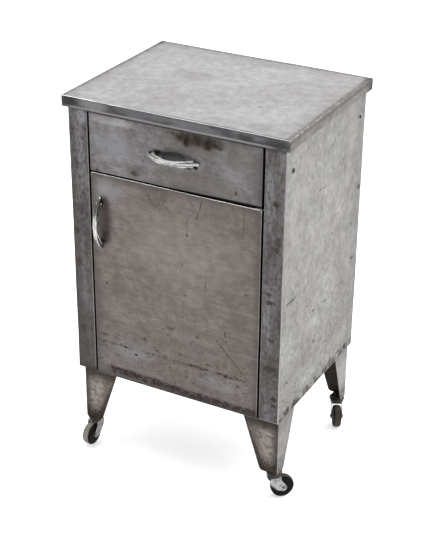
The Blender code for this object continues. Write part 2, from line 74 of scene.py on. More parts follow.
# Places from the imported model
TOP_LOW, TOP_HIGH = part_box("top_cover")
WALL_LOW, WALL_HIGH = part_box("side_panel_right")
DOOR_LOW, DOOR_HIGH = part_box("door_skin")
DRAWER_LOW, DRAWER_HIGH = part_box("drawer_front")
HALF_W = WALL_HIGH.x
FRONT_Y, BACK_Y = WALL_LOW.y, WALL_HIGH.y
BODY_Z, CAP_Z = WALL_LOW.z, WALL_HIGH.z
SKIRT_Z, TOP_Z = TOP_LOW.z, TOP_HIGH.z
OPENING = HALF_W - POST_W
HOLE_PLACES = (FRONT_Y + HOLE_INSET[0], BACK_Y - HOLE_INSET[1])
HOLE_Z = SKIRT_Z - HOLE_DROP
JOINTS = {joint["name"]: joint for joint in frame["joints"]}
CASTER_H = JOINTS["swivel_front_right"]["pos_m"][2]

# Sizes of the finer pieces
WHEEL_W = 0.0186
LEG_FRONT = (0.0858, 0.0408)  # a leg's front flange, at the body and at the foot
LEG_FRONT_INSIDE = (0.08, 0.039)  # the same, where it runs up inside the body
LEG_FLANK = (0.075, 0.027)  # its flange at the side
FOLD_STEPS = 6
CELL = 0.024  # of the mesh on the flat sheets
AXES = {"X": 0, "Y": 1, "Z": 2}
MIDDLE = Vector()  # on the floor, under the middle of the cabinet


# Shapes


def skin(rings, bored=False):
    """A closed mesh over rings of points, capped at both ends or, when bored, joined end to end."""
    bm = bmesh.new()
    loops = [[bm.verts.new(point) for point in ring] for ring in rings]
    following = loops[1:] + loops[:1] if bored else loops[1:]
    for ring, after in zip(loops, following):
        for i, vert in enumerate(ring):
            bm.faces.new((vert, ring[i - 1], after[i - 1], after[i]))
    if not bored:
        bm.faces.new(loops[0])
        bm.faces.new(loops[-1])
    bmesh.ops.recalc_face_normals(bm, faces=bm.faces)
    return bm


def spread(axis, across, up, along):
    """A point from two coordinates in the plane across an axis, and one along it."""
    if axis == "X":
        return Vector((along, across, up))
    if axis == "Y":
        return Vector((across, along, up))
    return Vector((across, up, along))


def prism(outline, low, high, axis):
    """An outline in the plane across an axis, extruded along it."""
    return skin([[spread(axis, a, b, end) for a, b in outline] for end in (low, high)])


def lathe(profile, steps, axis="Z", centre=(0.0, 0.0, 0.0), bored=False):
    """A turned solid from (radius, height) points, about an axis through a centre."""
    turns = [2 * math.pi * i / steps for i in range(steps)]
    rings = [
        [Vector(centre) + spread(axis, r * math.cos(t), r * math.sin(t), h) for t in turns]
        for r, h in profile
    ]
    return skin(rings, bored)


def ring_profile(radius, thickness, height, steps=8):
    """Section of a round ring, for lathe."""
    half = thickness / 2
    turns = [2 * math.pi * i / steps for i in range(steps)]
    return [(radius + half * math.cos(t), height + half * math.sin(t)) for t in turns]


def quarter(steps=FOLD_STEPS):
    """Angles of a quarter turn."""
    return [math.pi / 2 * i / steps for i in range(steps + 1)]


def rounded_rectangle(half_u, half_v, radius):
    """Corner-rounded rectangle about the origin."""
    points = []
    for side_u, side_v, start in ((1, 1, 0), (-1, 1, 1), (-1, -1, 2), (1, -1, 3)):
        for angle in quarter():
            turn = angle + start * math.pi / 2
            u = side_u * (half_u - radius) + radius * math.cos(turn)
            points.append((u, side_v * (half_v - radius) + radius * math.sin(turn)))
    return points


def tray(low, high, opening, corner=0.003, fold=0.0022, lip=0.0):
    """A folded tray that fills the box between two corners and is open towards, say, -Z."""
    sign = -1 if opening[0] == "-" else 1
    k = AXES[opening[1]]
    i, j = [n for n in range(3) if n != k]
    closed_face = low[k] if sign > 0 else high[k]
    middle = (Vector(low) + Vector(high)) / 2
    half = (Vector(high) - Vector(low)) / 2
    depth = 2 * half[k]
    section = [(fold * (1 - math.sin(a)), fold * (1 - math.cos(a))) for a in quarter()]
    section.append((0.0, depth))
    if lip:
        section += [(lip, depth), (lip, depth - SHEET), (SHEET, depth - SHEET)]
    else:
        section.append((SHEET, depth))
    inner = fold - SHEET
    section += [(SHEET + inner * (1 - math.cos(a)), fold - inner * math.sin(a)) for a in quarter()]
    rings = []
    for inset, reach in section:
        radius = max(corner - inset, 0.0004)
        ring = []
        for u, v in rounded_rectangle(half[i] - inset, half[j] - inset, radius):
            point = Vector(middle)
            point[i] += u
            point[j] += v
            point[k] = closed_face + sign * reach
            ring.append(point)
        rings.append(ring)
    return skin(rings)


def folded_strip(path, sheet=SHEET, bend=0.002):
    """Outline of a sheet folded along its middle line, with a round bend at each corner."""
    path = [Vector(point) for point in path]
    first = (path[1] - path[0]).normalized()
    middle = [(path[0], Vector((-first.y, first.x)))]
    for before, corner, after in zip(path, path[1:], path[2:]):
        coming = (corner - before).normalized()
        going = (after - corner).normalized()
        turn = math.atan2(coming.x * going.y - coming.y * going.x, coming.dot(going))
        side = math.copysign(bend, turn)
        normal = Vector((-coming.y, coming.x))
        centre = corner - coming * bend * math.tan(abs(turn) / 2) + normal * side
        for step in range(FOLD_STEPS + 1):
            turned = Matrix.Rotation(turn * step / FOLD_STEPS, 2) @ normal
            middle.append((centre - turned * side, turned))
    last = (path[-1] - path[-2]).normalized()
    middle.append((path[-1], Vector((-last.y, last.x))))
    left = [point + normal * sheet / 2 for point, normal in middle]
    right = [point - normal * sheet / 2 for point, normal in middle]
    return left + right[::-1]


def bezier(start, pull_start, pull_end, end, steps):
    """Points along a cubic curve in the plane, the start left out."""
    points = []
    for i in range(1, steps + 1):
        t = i / steps
        weights = ((1 - t) ** 3, 3 * t * (1 - t) ** 2, 3 * t * t * (1 - t), t**3)
        ends = (start, pull_start, pull_end, end)
        points.append(tuple(sum(w * p[n] for w, p in zip(weights, ends)) for n in (0, 1)))
    return points


def smooth_step(value, low, high):
    """0 below low, 1 above high, and a smooth change between them."""
    t = min(max((value - low) / (high - low), 0.0), 1.0)
    return t * t * (3 - 2 * t)


def divide(bm, cell=CELL):
    """Cuts a mesh along regular planes, so that its flat sheets can bend."""
    for k in range(3):
        places = [v.co[k] for v in bm.verts]
        low, high = min(places), max(places)
        count = int((high - low) / cell)
        normal = Vector([float(n == k) for n in range(3)])
        for i in range(1, count):
            at = normal * (low + (high - low) * i / count)
            everything = bm.verts[:] + bm.edges[:] + bm.faces[:]
            bmesh.ops.bisect_plane(bm, geom=everything, plane_co=at, plane_no=normal, dist=1e-6)
    return bm


def handle_roughly(bm, amount=0.0005):
    """Bends sheet metal out of true. The field is one for all pieces, so that their gaps stay."""
    for vert in bm.verts:
        vert.co += noise.noise_vector(vert.co * 6.0) * amount
        vert.co += noise.noise_vector(vert.co * 17.0 + Vector((4, 7, 1))) * amount * 0.3
    return bm


def mesh_of(bm, name):
    """Turns a bmesh into a mesh."""
    mesh = bpy.data.meshes.new(name)
    bm.to_mesh(mesh)
    bm.free()
    return mesh


def make(name, bm, material, body, replaced=(), place=None, sharp=35):
    """Adds one piece to the object, on its body, in place of CAD nodes."""
    mesh = mesh_of(bm, name)
    mesh.shade_smooth()
    mesh.set_sharp_from_angle(angle=math.radians(sharp))
    mesh.materials.append(material)
    piece = bpy.data.objects.new(name, mesh)
    if place:
        piece.matrix_world = place
    bpy.context.scene.collection.objects.link(piece)
    even = piece.modifiers.new("even", "WEIGHTED_NORMAL")
    even.keep_sharp = True
    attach(piece, body)
    if replaced:
        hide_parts(*replaced)
    return piece


def join(bm, more):
    """Adds the closed shells of one bmesh to another."""
    mesh = mesh_of(more, "join")
    bm.from_mesh(mesh)
    bpy.data.meshes.remove(mesh)
    return bm


def combine(bm, operation, tool_bm):
    """Applies an exact Boolean of one closed bmesh to another."""
    piece, tool = (bpy.data.objects.new("combine", mesh_of(shape, "combine")) for shape in (bm, tool_bm))
    for item in (piece, tool):
        bpy.context.scene.collection.objects.link(item)
    modifier = piece.modifiers.new("combine", "BOOLEAN")
    modifier.operation = operation
    modifier.solver = "EXACT"
    modifier.object = tool
    made = bmesh.new()
    made.from_object(piece, bpy.context.evaluated_depsgraph_get())
    for item in (piece, tool):
        mesh = item.data
        bpy.data.objects.remove(item)
        bpy.data.meshes.remove(mesh)
    return made


# Materials

STEEL = (0.235, 0.23, 0.224)
RUST = (0.04, 0.026, 0.018)
# Black: painted shade in the gaps, the opening, the holes and under the skirt, and grease by the drawer's pull
SHADE_AND_GREASE = (0.011, 0.01, 0.009)
# Pale: worn metal on edges and folds, and a painted highlight on the round folds
WORN_AND_HIGHLIGHT = (0.46, 0.455, 0.445)
SIDEWAYS, UPRIGHT = (22, 1, 1), (1, 1, 16)  # of the brushing


class Nodes:
    """A node tree, to which nodes are added with their values or links."""

    def __init__(self, owner):
        owner.use_nodes = True
        self.tree = owner.node_tree

    def add(self, kind, values=None, **settings):
        node = self.tree.nodes.new("ShaderNode" + kind)
        for key, value in settings.items():
            setattr(node, key, value)
        for key, value in (values or {}).items():
            self.feed(node.inputs[key], value)
        return node

    def feed(self, socket, value):
        if isinstance(value, bpy.types.NodeSocket):
            self.tree.links.new(value, socket)
        elif socket.type == "RGBA":
            socket.default_value = (*value, 1.0)
        else:
            socket.default_value = value


class Surface(Nodes):
    """One procedural material, made by laying finishes over each other in object coordinates."""

    def __init__(self, name, colour, roughness, metallic):
        self.material = bpy.data.materials.new(name)
        super().__init__(self.material)
        self.shader = self.tree.nodes["Principled BSDF"]
        self.colour, self.roughness, self.metallic = colour, roughness, metallic
        self.height = 0.0
        source = self.add("TexCoord")
        self.place = source.outputs["Object"]
        self.facing = self.split(source.outputs["Normal"])
        self.axes = self.split(self.place)
        wander = self.add("TexNoise", {0: self.place, "Scale": 140.0, "Detail": 3.0}).outputs["Color"]
        centred = self.vector("SUBTRACT", wander, (0.5, 0.5, 0.5))
        self.ragged = self.vector("MULTIPLY_ADD", centred, (0.01, 0.01, 0.01), self.place)

    def split(self, value):
        return self.add("SeparateXYZ", {0: value}).outputs

    def vector(self, operation, *values, output=0):
        return self.add("VectorMath", dict(enumerate(values)), operation=operation).outputs[output]

    def maths(self, operation, *values):
        return self.add("Math", dict(enumerate(values)), operation=operation).outputs[0]

    def absolute(self, value):
        return self.maths("ABSOLUTE", value)

    def minus(self, value, less):
        return self.maths("SUBTRACT", value, less)

    def larger(self, one, other):
        return self.maths("MAXIMUM", one, other)

    def smaller(self, one, other):
        return self.maths("MINIMUM", one, other)

    def times(self, *masks):
        product = masks[0]
        for mask in masks[1:]:
            product = self.maths("MULTIPLY", product, mask)
        return product

    def ramp(self, value, start, end, low=0.0, high=1.0):
        """A smooth change from low to high as the value goes from start to end."""
        values = {"Value": value, "From Min": start, "From Max": end, "To Min": low, "To Max": high}
        return self.add("MapRange", values, interpolation_type="SMOOTHSTEP").outputs["Result"]

    def between(self, value, low, high, soft):
        """1 between two values, and 0 outside them."""
        rise = self.ramp(value, low - soft, low)
        return self.times(rise, self.ramp(value, high, high + soft, 1.0, 0.0))

    def noise(self, size, stretch=(1, 1, 1), detail=4.0, roughness=0.55, shift=0.0, distortion=0.0):
        """Noise about 0.5, with features this big, drawn out along an axis by its stretch."""
        scale = tuple(1.0 / (size * s) for s in stretch)
        at = self.vector("MULTIPLY_ADD", self.place, scale, (shift, shift * 1.7, shift * 0.6))
        values = {0: at, "Scale": 1.0, "Detail": detail, "Roughness": roughness, "Distortion": distortion}
        return self.add("TexNoise", values).outputs[0]

    def spot(self, centre, radii, plain=False):
        """A soft-edged ellipsoid: 1 within, 0 outside. A radius of None leaves that axis out."""
        inverse = [1.0 / r if r else 0.0 for r in radii]
        offset = [-c * i for c, i in zip(centre, inverse)]
        source = self.place if plain else self.ragged
        at = self.vector("MULTIPLY_ADD", source, inverse, offset)
        return self.ramp(self.vector("LENGTH", at, output="Value"), 1.0, 0.35)

    def spots(self, marks, plain=False):
        """The strongest of several soft spots, each (centre, radii, strength)."""
        total = None
        for centre, radii, strength in marks:
            mask = self.times(self.spot(centre, radii, plain), strength)
            total = self.larger(total, mask) if total else mask
        return total

    def mix(self, mask, below, above):
        """Two colours or two values, mixed by a mask."""
        kind, first, result = ("RGBA", 6, 2) if isinstance(above, tuple) else ("FLOAT", 2, 0)
        values = {0: mask, first: below, first + 1: above}
        return self.add("Mix", values, data_type=kind).outputs[result]

    def lay(self, mask, colour, strength=1.0, roughness=None, metallic=None):
        """Lays a finish over what is there, where the mask, or the product of several masks, says."""
        if isinstance(mask, tuple):
            mask = self.times(*mask)
        if strength != 1.0:
            mask = self.times(mask, strength)
        self.colour = self.mix(mask, self.colour, colour)
        if roughness is not None:
            self.roughness = self.mix(mask, self.roughness, roughness)
        if metallic is not None:
            self.metallic = self.mix(mask, self.metallic, metallic)

    def raise_by(self, value, metres):
        """Adds relief of this height where the value is 1."""
        self.height = self.maths("MULTIPLY_ADD", value, metres, self.height)

    def finish(self, fixed=None):
        """Joins everything to the shader, with the sockets that are the same all over set on it."""
        sockets = {"Base Color": self.colour, "Roughness": self.roughness, "Metallic": self.metallic}
        if isinstance(self.height, bpy.types.NodeSocket):
            bump = self.add("Bump", {"Height": self.height, "Distance": 1.0, "Strength": 1.0})
            sockets["Normal"] = bump.outputs["Normal"]
        for name, value in {**sockets, **(fixed or {})}.items():
            self.feed(self.shader.inputs[name], value)
        return self.material


def folds(surface):
    """1 on the round folds, whose normal lies between the axes."""
    x, y, z = (surface.absolute(value) for value in surface.facing)
    return surface.ramp(surface.larger(surface.larger(x, y), z), 0.995, 0.875)


def tint(colour, factor, warmth=0.0):
    """A colour made darker or lighter, and browner by its warmth."""
    r, g, b = (channel * factor for channel in colour)
    return (r * (1 + warmth), g, b * (1 - warmth))


def steel(name, colour, brushing, roughness=0.4, pits=0.4, mottle=0.5, streak=0.5, marking=0.4):
    """Sheet steel stripped to bare metal: cloudy, brushed one way, pitted and a little stained."""
    s = Surface(name, colour, roughness, 0.85)
    patches = s.noise(0.13, detail=2.0, roughness=0.5, shift=3.1)
    s.lay(s.ramp(patches, 0.38, 0.66), tint(colour, 0.8, 0.03))
    blots = s.noise(0.02, detail=6.0, roughness=0.66, shift=1.3, distortion=0.3)
    s.lay(s.ramp(blots, 0.36, 0.74), tint(colour, 0.58, 0.05), mottle)
    s.lay(s.ramp(blots, 0.56, 0.24), tint(colour, 1.3), mottle)
    long_streaks = s.noise(0.0035, brushing, roughness=0.65, shift=7.7)
    s.lay(s.ramp(long_streaks, 0.34, 0.8), tint(colour, 0.6, 0.03), streak)
    s.lay(s.ramp(long_streaks, 0.62, 0.2), tint(colour, 1.25), streak)
    grain = s.noise(0.0012, tuple(1 + 0.25 * (b - 1) for b in brushing), detail=3.0, roughness=0.7)
    s.lay(s.ramp(grain, 0.4, 0.7), tint(colour, 0.62), 0.35)
    short = tuple(1 + 0.05 * (b - 1) for b in brushing)
    marks = s.noise(0.0062, short, detail=5.0, roughness=0.75, shift=6.4)
    s.lay(s.ramp(marks, 0.46, 0.66), tint(colour, 0.42, 0.08), marking)
    s.lay(s.ramp(marks, 0.5, 0.32), tint(colour, 1.35), marking * 0.8)
    s.roughness = s.ramp(blots, 0.3, 0.72, roughness - 0.06, roughness + 0.12)
    specks = s.noise(0.0022, detail=2.0, roughness=0.5, shift=5.5)
    clusters = s.noise(0.035, detail=3.0, shift=9.1)
    pitting = s.times(s.ramp(specks, 0.655, 0.72), s.ramp(clusters, 0.46, 0.66))
    s.lay(pitting, RUST, pits, 0.75, 0.1)
    s.raise_by(grain, 0.00002)
    s.raise_by(blots, 0.00012)
    s.raise_by(pitting, -0.00008)
    return s


def on_front(s, corner, *marks, plain=False):
    """Marks on an upright front, each (across, up, half width, half height, strength) in mm from a corner."""
    places = [
        ((corner.x + a / 1000, 0.0, corner.z + u / 1000), (ra / 1000, None, ru / 1000), strength)
        for a, u, ra, ru, strength in marks
    ]
    return s.spots(places, plain)


def on_side(s, *marks, plain=False):
    """Marks on a side wall, each (y, z, half width, half height, strength), in mm."""
    places = [((HALF_W, y / 1000, z / 1000), (None, ra / 1000, ru / 1000), strength)
              for y, z, ra, ru, strength in marks]
    return s.spots(places, plain)


def on_top(s, *marks):
    """Marks on the top, each (x, y, half width, half depth, strength), in mm from its middle."""
    middle = (TOP_LOW + TOP_HIGH) / 2
    places = [((middle.x + x / 1000, middle.y + y / 1000, 0.0), (rx / 1000, ry / 1000, None), strength)
              for x, y, rx, ry, strength in marks]
    return s.spots(places)


def edge_distance(s, low, high):
    """How far a point of a front sheet is from its nearest edge."""
    x, _, z = s.axes
    sideways = s.smaller(s.minus(x, low.x), s.minus(high.x, x))
    upwards = s.smaller(s.minus(z, low.z), s.minus(high.z, z))
    return s.smaller(sideways, upwards)


def shaded_flanks(s):
    """Painted shade: black on the flanks of a front sheet, in the gap around it."""
    flank = s.ramp(s.absolute(s.facing[0]), 0.55, 0.9)
    under = s.ramp(s.facing[2], -0.5, -0.9)
    s.lay(s.larger(flank, under), SHADE_AND_GREASE, 1.0, 0.8, 1.0)
    above = s.ramp(s.facing[2], 0.92, 0.995)
    s.lay(above, SHADE_AND_GREASE, 0.9, 0.8, 1.0)


def drawer_steel():
    """Drawer: bluish towards both ends, rusty under the top edge, with a dark patch behind the pull."""
    s = steel("drawer_steel", (0.164, 0.157, 0.161), SIDEWAYS, pits=0.5, mottle=0.6, streak=0.36, marking=0.5)
    low, x, z = DRAWER_LOW, s.axes[0], s.axes[2]
    bluish = on_front(s, low, (56, 62, 66, 50, 0.9), (318, 62, 44, 46, 0.55))
    s.lay(bluish, (0.205, 0.202, 0.218), 0.6)
    # Painted highlight: a pale bluish spot under the top edge, at the left
    s.lay(on_front(s, low, (52, 114, 70, 12, 1.0)), (0.33, 0.325, 0.345), 0.6)
    brown = on_front(
        s, low, (230, 100, 100, 40, 0.8), (30, 120, 60, 14, 0.5), (240, 26, 130, 34, 0.9),
        (340, 90, 60, 50, 0.6)
    )
    s.lay(brown, (0.102, 0.088, 0.079), 0.75)
    dim = on_front(s, low, (105, 22, 40, 20, 0.9), (376, 60, 22, 80, 1.0), (280, 62, 34, 30, 0.8))
    s.lay(dim, (0.078, 0.071, 0.072), 0.55)
    soft = on_front(s, low, (244, 110, 72, 17, 1.0), (155, 68, 15, 12, 0.9), (104, 14, 11, 9, 0.8))
    s.lay(soft, (0.052, 0.038, 0.027), 0.9, 0.6, 0.7)
    drips = s.noise(0.008, (1, 1, 2.2), detail=5.0, roughness=0.66, shift=2.9)
    rusty = on_front(
        s, low, (240, 117, 80, 8, 0.9), (207, 112, 16, 9, 0.8), (222, 107, 17, 19, 1.0),
        (246, 111, 20, 12, 1.0), (268, 107, 15, 16, 1.0), (290, 108, 18, 11, 0.9), (157, 70, 12, 7, 1.0),
        (143, 66, 8, 6, 0.9), (102, 13, 6, 5, 1.0), (328, 20, 4, 8, 0.7), (12, 4, 14, 6, 0.9)
    )
    s.lay((rusty, s.ramp(drips, 0.42, 0.54, 0.25, 1.0)), (0.026, 0.018, 0.012), 1.0, 0.75, 0.7)
    # A dark oval just above the pull
    dark_oval = on_front(
        s, low, (183, 64, 22, 13, 1.0), (192, 66, 23, 14, 1.0), (201, 68, 22, 13, 1.0), plain=True
    )
    s.lay(s.ramp(dark_oval, 0.0, 0.4), (0.032, 0.035, 0.033), 0.95, 0.42, 0.6)
    # Grease by the pull's left foot and at the oval's left end, and a painted shadow under the bow by its right
    # foot
    grime_and_shadow = on_front(
        s, low, (141, 63, 9, 8, 1.0), (170, 56, 8, 7, 1.0), (239, 56, 8, 5, 1.0), (216, 50, 24, 3, 0.9)
    )
    s.lay(grime_and_shadow, SHADE_AND_GREASE, 1.0, 0.8, 1.0)
    # Painted shade: darker along the edges, weaker at the left
    rim = s.ramp(edge_distance(s, DRAWER_LOW, DRAWER_HIGH), 0.016, 0.0)
    s.lay((rim, s.ramp(x, low.x + 0.06, low.x + 0.2, 0.1, 1.0)), (0.055, 0.05, 0.048), 0.65)
    # Partly wear, partly a painted highlight on the round folds
    s.lay(folds(s), WORN_AND_HIGHLIGHT, 0.35, 0.3, 1.0)
    # Painted shade: a black line in the gap along the foot, deeper to the right, and one at the right end
    sag = s.ramp(x, low.x + 0.05, DRAWER_HIGH.x, low.z - 0.0008, low.z + 0.0044)
    s.lay(s.ramp(s.minus(z, sag), 0.0006, -0.0004), SHADE_AND_GREASE, 0.95, 0.8, 1.0)
    s.lay(s.ramp(x, DRAWER_HIGH.x - 0.0018, DRAWER_HIGH.x - 0.0008), SHADE_AND_GREASE, 0.95, 0.8, 1.0)
    # Painted shade on the drawer's flanks
    shaded_flanks(s)
    return s.finish()


def door_steel():
    """Door: smooth and brownish, hazy at the pull, rusty along the foot and across the lower third."""
    s = steel("door_steel", (0.153, 0.135, 0.127), SIDEWAYS, pits=0.5, mottle=0.34, streak=0.26, marking=0.26)
    low, z = DOOR_LOW, s.axes[2]
    hazy = on_front(s, low, (44, 436, 44, 34, 1.0), (90, 70, 70, 36, 0.7), (295, 52, 66, 20, 0.6))
    s.lay(hazy, (0.2, 0.197, 0.21), 0.6)
    pale = on_front(s, low, (200, 330, 150, 110, 0.8), (311, 345, 66, 60, 0.8), (236, 237, 36, 26, 0.8))
    s.lay(pale, (0.196, 0.172, 0.16), 0.6)
    dim = on_front(
        s, low, (345, 170, 46, 100, 0.8), (12, 170, 20, 130, 0.7), (240, 118, 90, 30, 0.6),
        (28, 137, 30, 22, 0.7), (58, 219, 32, 36, 1.0), (150, 452, 60, 16, 0.6), (370, 440, 20, 60, 0.7),
        (300, 420, 90, 40, 0.6), (330, 345, 50, 60, 0.5), (40, 125, 50, 24, 0.6), (235, 160, 90, 20, 0.5)
    )
    s.lay(dim, (0.088, 0.076, 0.07), 0.55)
    brown = on_front(s, low, (150, 436, 44, 24, 0.9), (54, 451, 13, 8, 0.9))
    scraped = s.noise(0.006, (1, 1, 3.0), roughness=0.65, shift=9.3)
    s.lay((brown, s.ramp(scraped, 0.42, 0.58)), (0.075, 0.052, 0.04), 0.8)
    wiped = s.noise(0.012, (7, 1, 1), detail=5.0, roughness=0.6, shift=3.7, distortion=0.8)
    s.lay(s.ramp(wiped, 0.5, 0.7), (0.098, 0.086, 0.08), 0.35)
    s.lay(s.ramp(wiped, 0.46, 0.3), (0.2, 0.182, 0.172), 0.3)
    # Painted shadow of the pull on the door beside it
    shade = on_front(s, low, (27, 359, 26, 74, 0.9), (31, 398, 17, 30, 1.0), (31, 328, 17, 26, 1.0))
    s.lay(shade, (0.038, 0.028, 0.026), 0.8, 0.5, 0.6)
    dots = on_front(
        s, low, (221, 376, 3, 6, 0.9), (138, 286, 3, 3, 0.9), (353, 277, 4, 3, 0.9), (216, 240, 6, 4, 1.0),
        (30, 222, 4, 5, 0.8), (211, 189, 4, 3, 0.8), (183, 155, 13, 3, 0.9), (309, 175, 3, 11, 1.0),
        (311, 159, 3, 4, 0.9), (230, 151, 3, 4, 0.9), (245, 151, 4, 4, 1.0), (210, 310, 2, 9, 0.6),
        (62, 83, 5, 3, 0.9), (72, 79, 8, 4, 1.0), (83, 75, 4, 3, 0.9), (98, 67, 5, 4, 1.0),
        (245, 80, 32, 7, 1.0), (316, 79, 30, 7, 1.0), (150, 92, 6, 3, 0.9), (22, 96, 12, 3, 0.8),
        (128, 72, 5, 4, 0.8), (270, 93, 6, 4, 0.9), (205, 100, 5, 4, 0.8), (340, 62, 8, 4, 0.8),
        (180, 60, 5, 3, 0.7), (120, 112, 5, 4, 0.8), plain=True
    )
    broken = s.noise(0.0055, (1.6, 1, 1), detail=5.0, roughness=0.7, shift=4.2)
    s.lay((dots, s.ramp(broken, 0.36, 0.6)), (0.03, 0.02, 0.015), 1.0, 0.75, 0.8)
    line = s.times(s.between(z, low.z + 0.0785, low.z + 0.0805, 0.0025), s.ramp(broken, 0.42, 0.62))
    s.lay(line, (0.044, 0.03, 0.024), 0.75, 0.7, 0.7)
    for top, foot, width in (
        ((255, 457), (243, 417), 0.0022),
        ((283, 163), (360, 84), 0.0022),
        ((221, 412), (221, 384), 0.001),
        ((264, 294), (262, 256), 0.0012),
        ((347, 456), (345, 400), 0.0011),
    ):
        worn = s.ramp(s.noise(0.01, detail=3.0, shift=top[0] * 0.1), 0.36, 0.5)
        s.lay((scratch(s, low, top, foot, width), worn), (0.055, 0.034, 0.025), 0.85, 0.7, 0.3)
    fine = s.noise(0.0052, (1.4, 1, 1), detail=5.0, roughness=0.68, shift=6.1)
    lower = s.ramp(z, low.z + 0.24, low.z + 0.03)
    s.lay((s.ramp(fine, 0.57, 0.66), lower), RUST, 0.9, 0.7, 0.7)
    swathe = s.noise(0.05, (2, 1, 1), detail=3.0, shift=1.9)
    fall = s.ramp(s.axes[0], low.x + 0.03, low.x + 0.3, 0.015, 0.008)
    band = s.ramp(s.absolute(s.minus(z, s.maths("ADD", fall, low.z))), 0.015, 0.004)
    band = s.times(band, s.ramp(s.maths("MULTIPLY_ADD", s.axes[0], 0.8, swathe), 0.18, 0.4),
                   s.ramp(s.axes[0], low.x + 0.005, low.x + 0.04))
    s.lay(band, (0.056, 0.042, 0.037), 0.55, 0.6, 0.8)
    crust = s.noise(0.0095, (1.3, 1, 1), detail=6.0, roughness=0.74, shift=7.7)
    crust = s.ramp(s.maths("MULTIPLY_ADD", band, 0.26, crust), 0.66, 0.8)
    s.lay(crust, (0.026, 0.017, 0.014), 0.9, 0.75, 0.8)
    # Painted shade: darker along the edges
    rim = edge_distance(s, DOOR_LOW, DOOR_HIGH)
    s.lay(s.ramp(rim, 0.022, 0.0), (0.06, 0.052, 0.048), 0.65)
    # Partly wear, partly a painted highlight on the round folds
    s.lay(folds(s), WORN_AND_HIGHLIGHT, 0.35, 0.3, 1.0)
    # Painted highlight on the fold along the top edge
    bright = s.times(folds(s), s.ramp(z, DOOR_HIGH.z - 0.006, DOOR_HIGH.z - 0.003))
    s.lay(bright, (0.66, 0.65, 0.64), 0.95, 0.3, 1.0)
    # Painted shade on the door's flanks
    shaded_flanks(s)
    return s.finish()


def scratch(s, low, top, foot, width):
    """A straight scratch on a front sheet, between two points in mm from its low corner."""
    start = Vector((low.x + top[0] / 1000, 0.0, low.z + top[1] / 1000))
    run = Vector((low.x + foot[0] / 1000, 0.0, low.z + foot[1] / 1000)) - start
    length = run.length
    along = run / length
    across = Vector((-along.z, 0.0, along.x))
    offset = s.vector("SUBTRACT", s.place, tuple(start))
    t = s.vector("DOT_PRODUCT", offset, tuple(along), output="Value")
    d = s.vector("DOT_PRODUCT", offset, tuple(across), output="Value")
    line = s.ramp(s.absolute(d), width, width * 0.3)
    return s.times(line, s.between(t, 0.0, length, 0.003))


def wall_steel():
    """Side panels: mottled on the outside; on the front posts dark from painted shade, with bluish painted
    highlights; black from painted shade in the opening.
    """
    s = steel("wall_steel", (0.166, 0.166, 0.162), UPRIGHT, pits=0.6, mottle=0.26, streak=0.4, marking=0.7)
    x, z = s.axes[0], s.axes[2]
    side = s.ramp(s.absolute(s.facing[0]), 0.6, 0.9)
    front = s.ramp(s.facing[1], -0.35, -0.8)
    fine = s.noise(0.0038, (1, 1, 1.5), roughness=0.6, shift=6.1)
    lower = s.ramp(z, BODY_Z + 0.52, BODY_Z)
    stain_wall(s, side, fine, lower)
    stain_posts(s, front, fine, lower)
    # Partly wear, partly a painted highlight on the round folds
    s.lay(folds(s), WORN_AND_HIGHLIGHT, 0.35, 0.32, 1.0)
    # Painted highlight on the lower part of the right wall's folds
    s.lay((folds(s), s.ramp(z, 0.6, 0.45), s.ramp(x, 0.0, OPENING)), WORN_AND_HIGHLIGHT, 0.25, 0.32, 1.0)
    hem = s.times(s.between(z, BODY_Z + 0.001, BODY_Z + 0.002, 0.001), s.larger(front, side))
    s.lay((hem, s.ramp(x, 0.0, OPENING, 0.0, 1.0)), WORN_AND_HIGHLIGHT, 0.2, 0.4, 0.9)
    s.lay((front, s.ramp(x, 0.0, -OPENING), s.ramp(z, BODY_Z + 0.016, BODY_Z)), RUST, 0.6, 0.7, 0.7)
    # Painted shade: black on the jambs and inside, in the opening
    outside = s.ramp(s.absolute(x), OPENING + 0.0004, OPENING + 0.0012)
    inside = s.minus(1.0, outside)
    s.lay(inside, SHADE_AND_GREASE, 1.0, 0.8, 1.0)
    return s.finish()


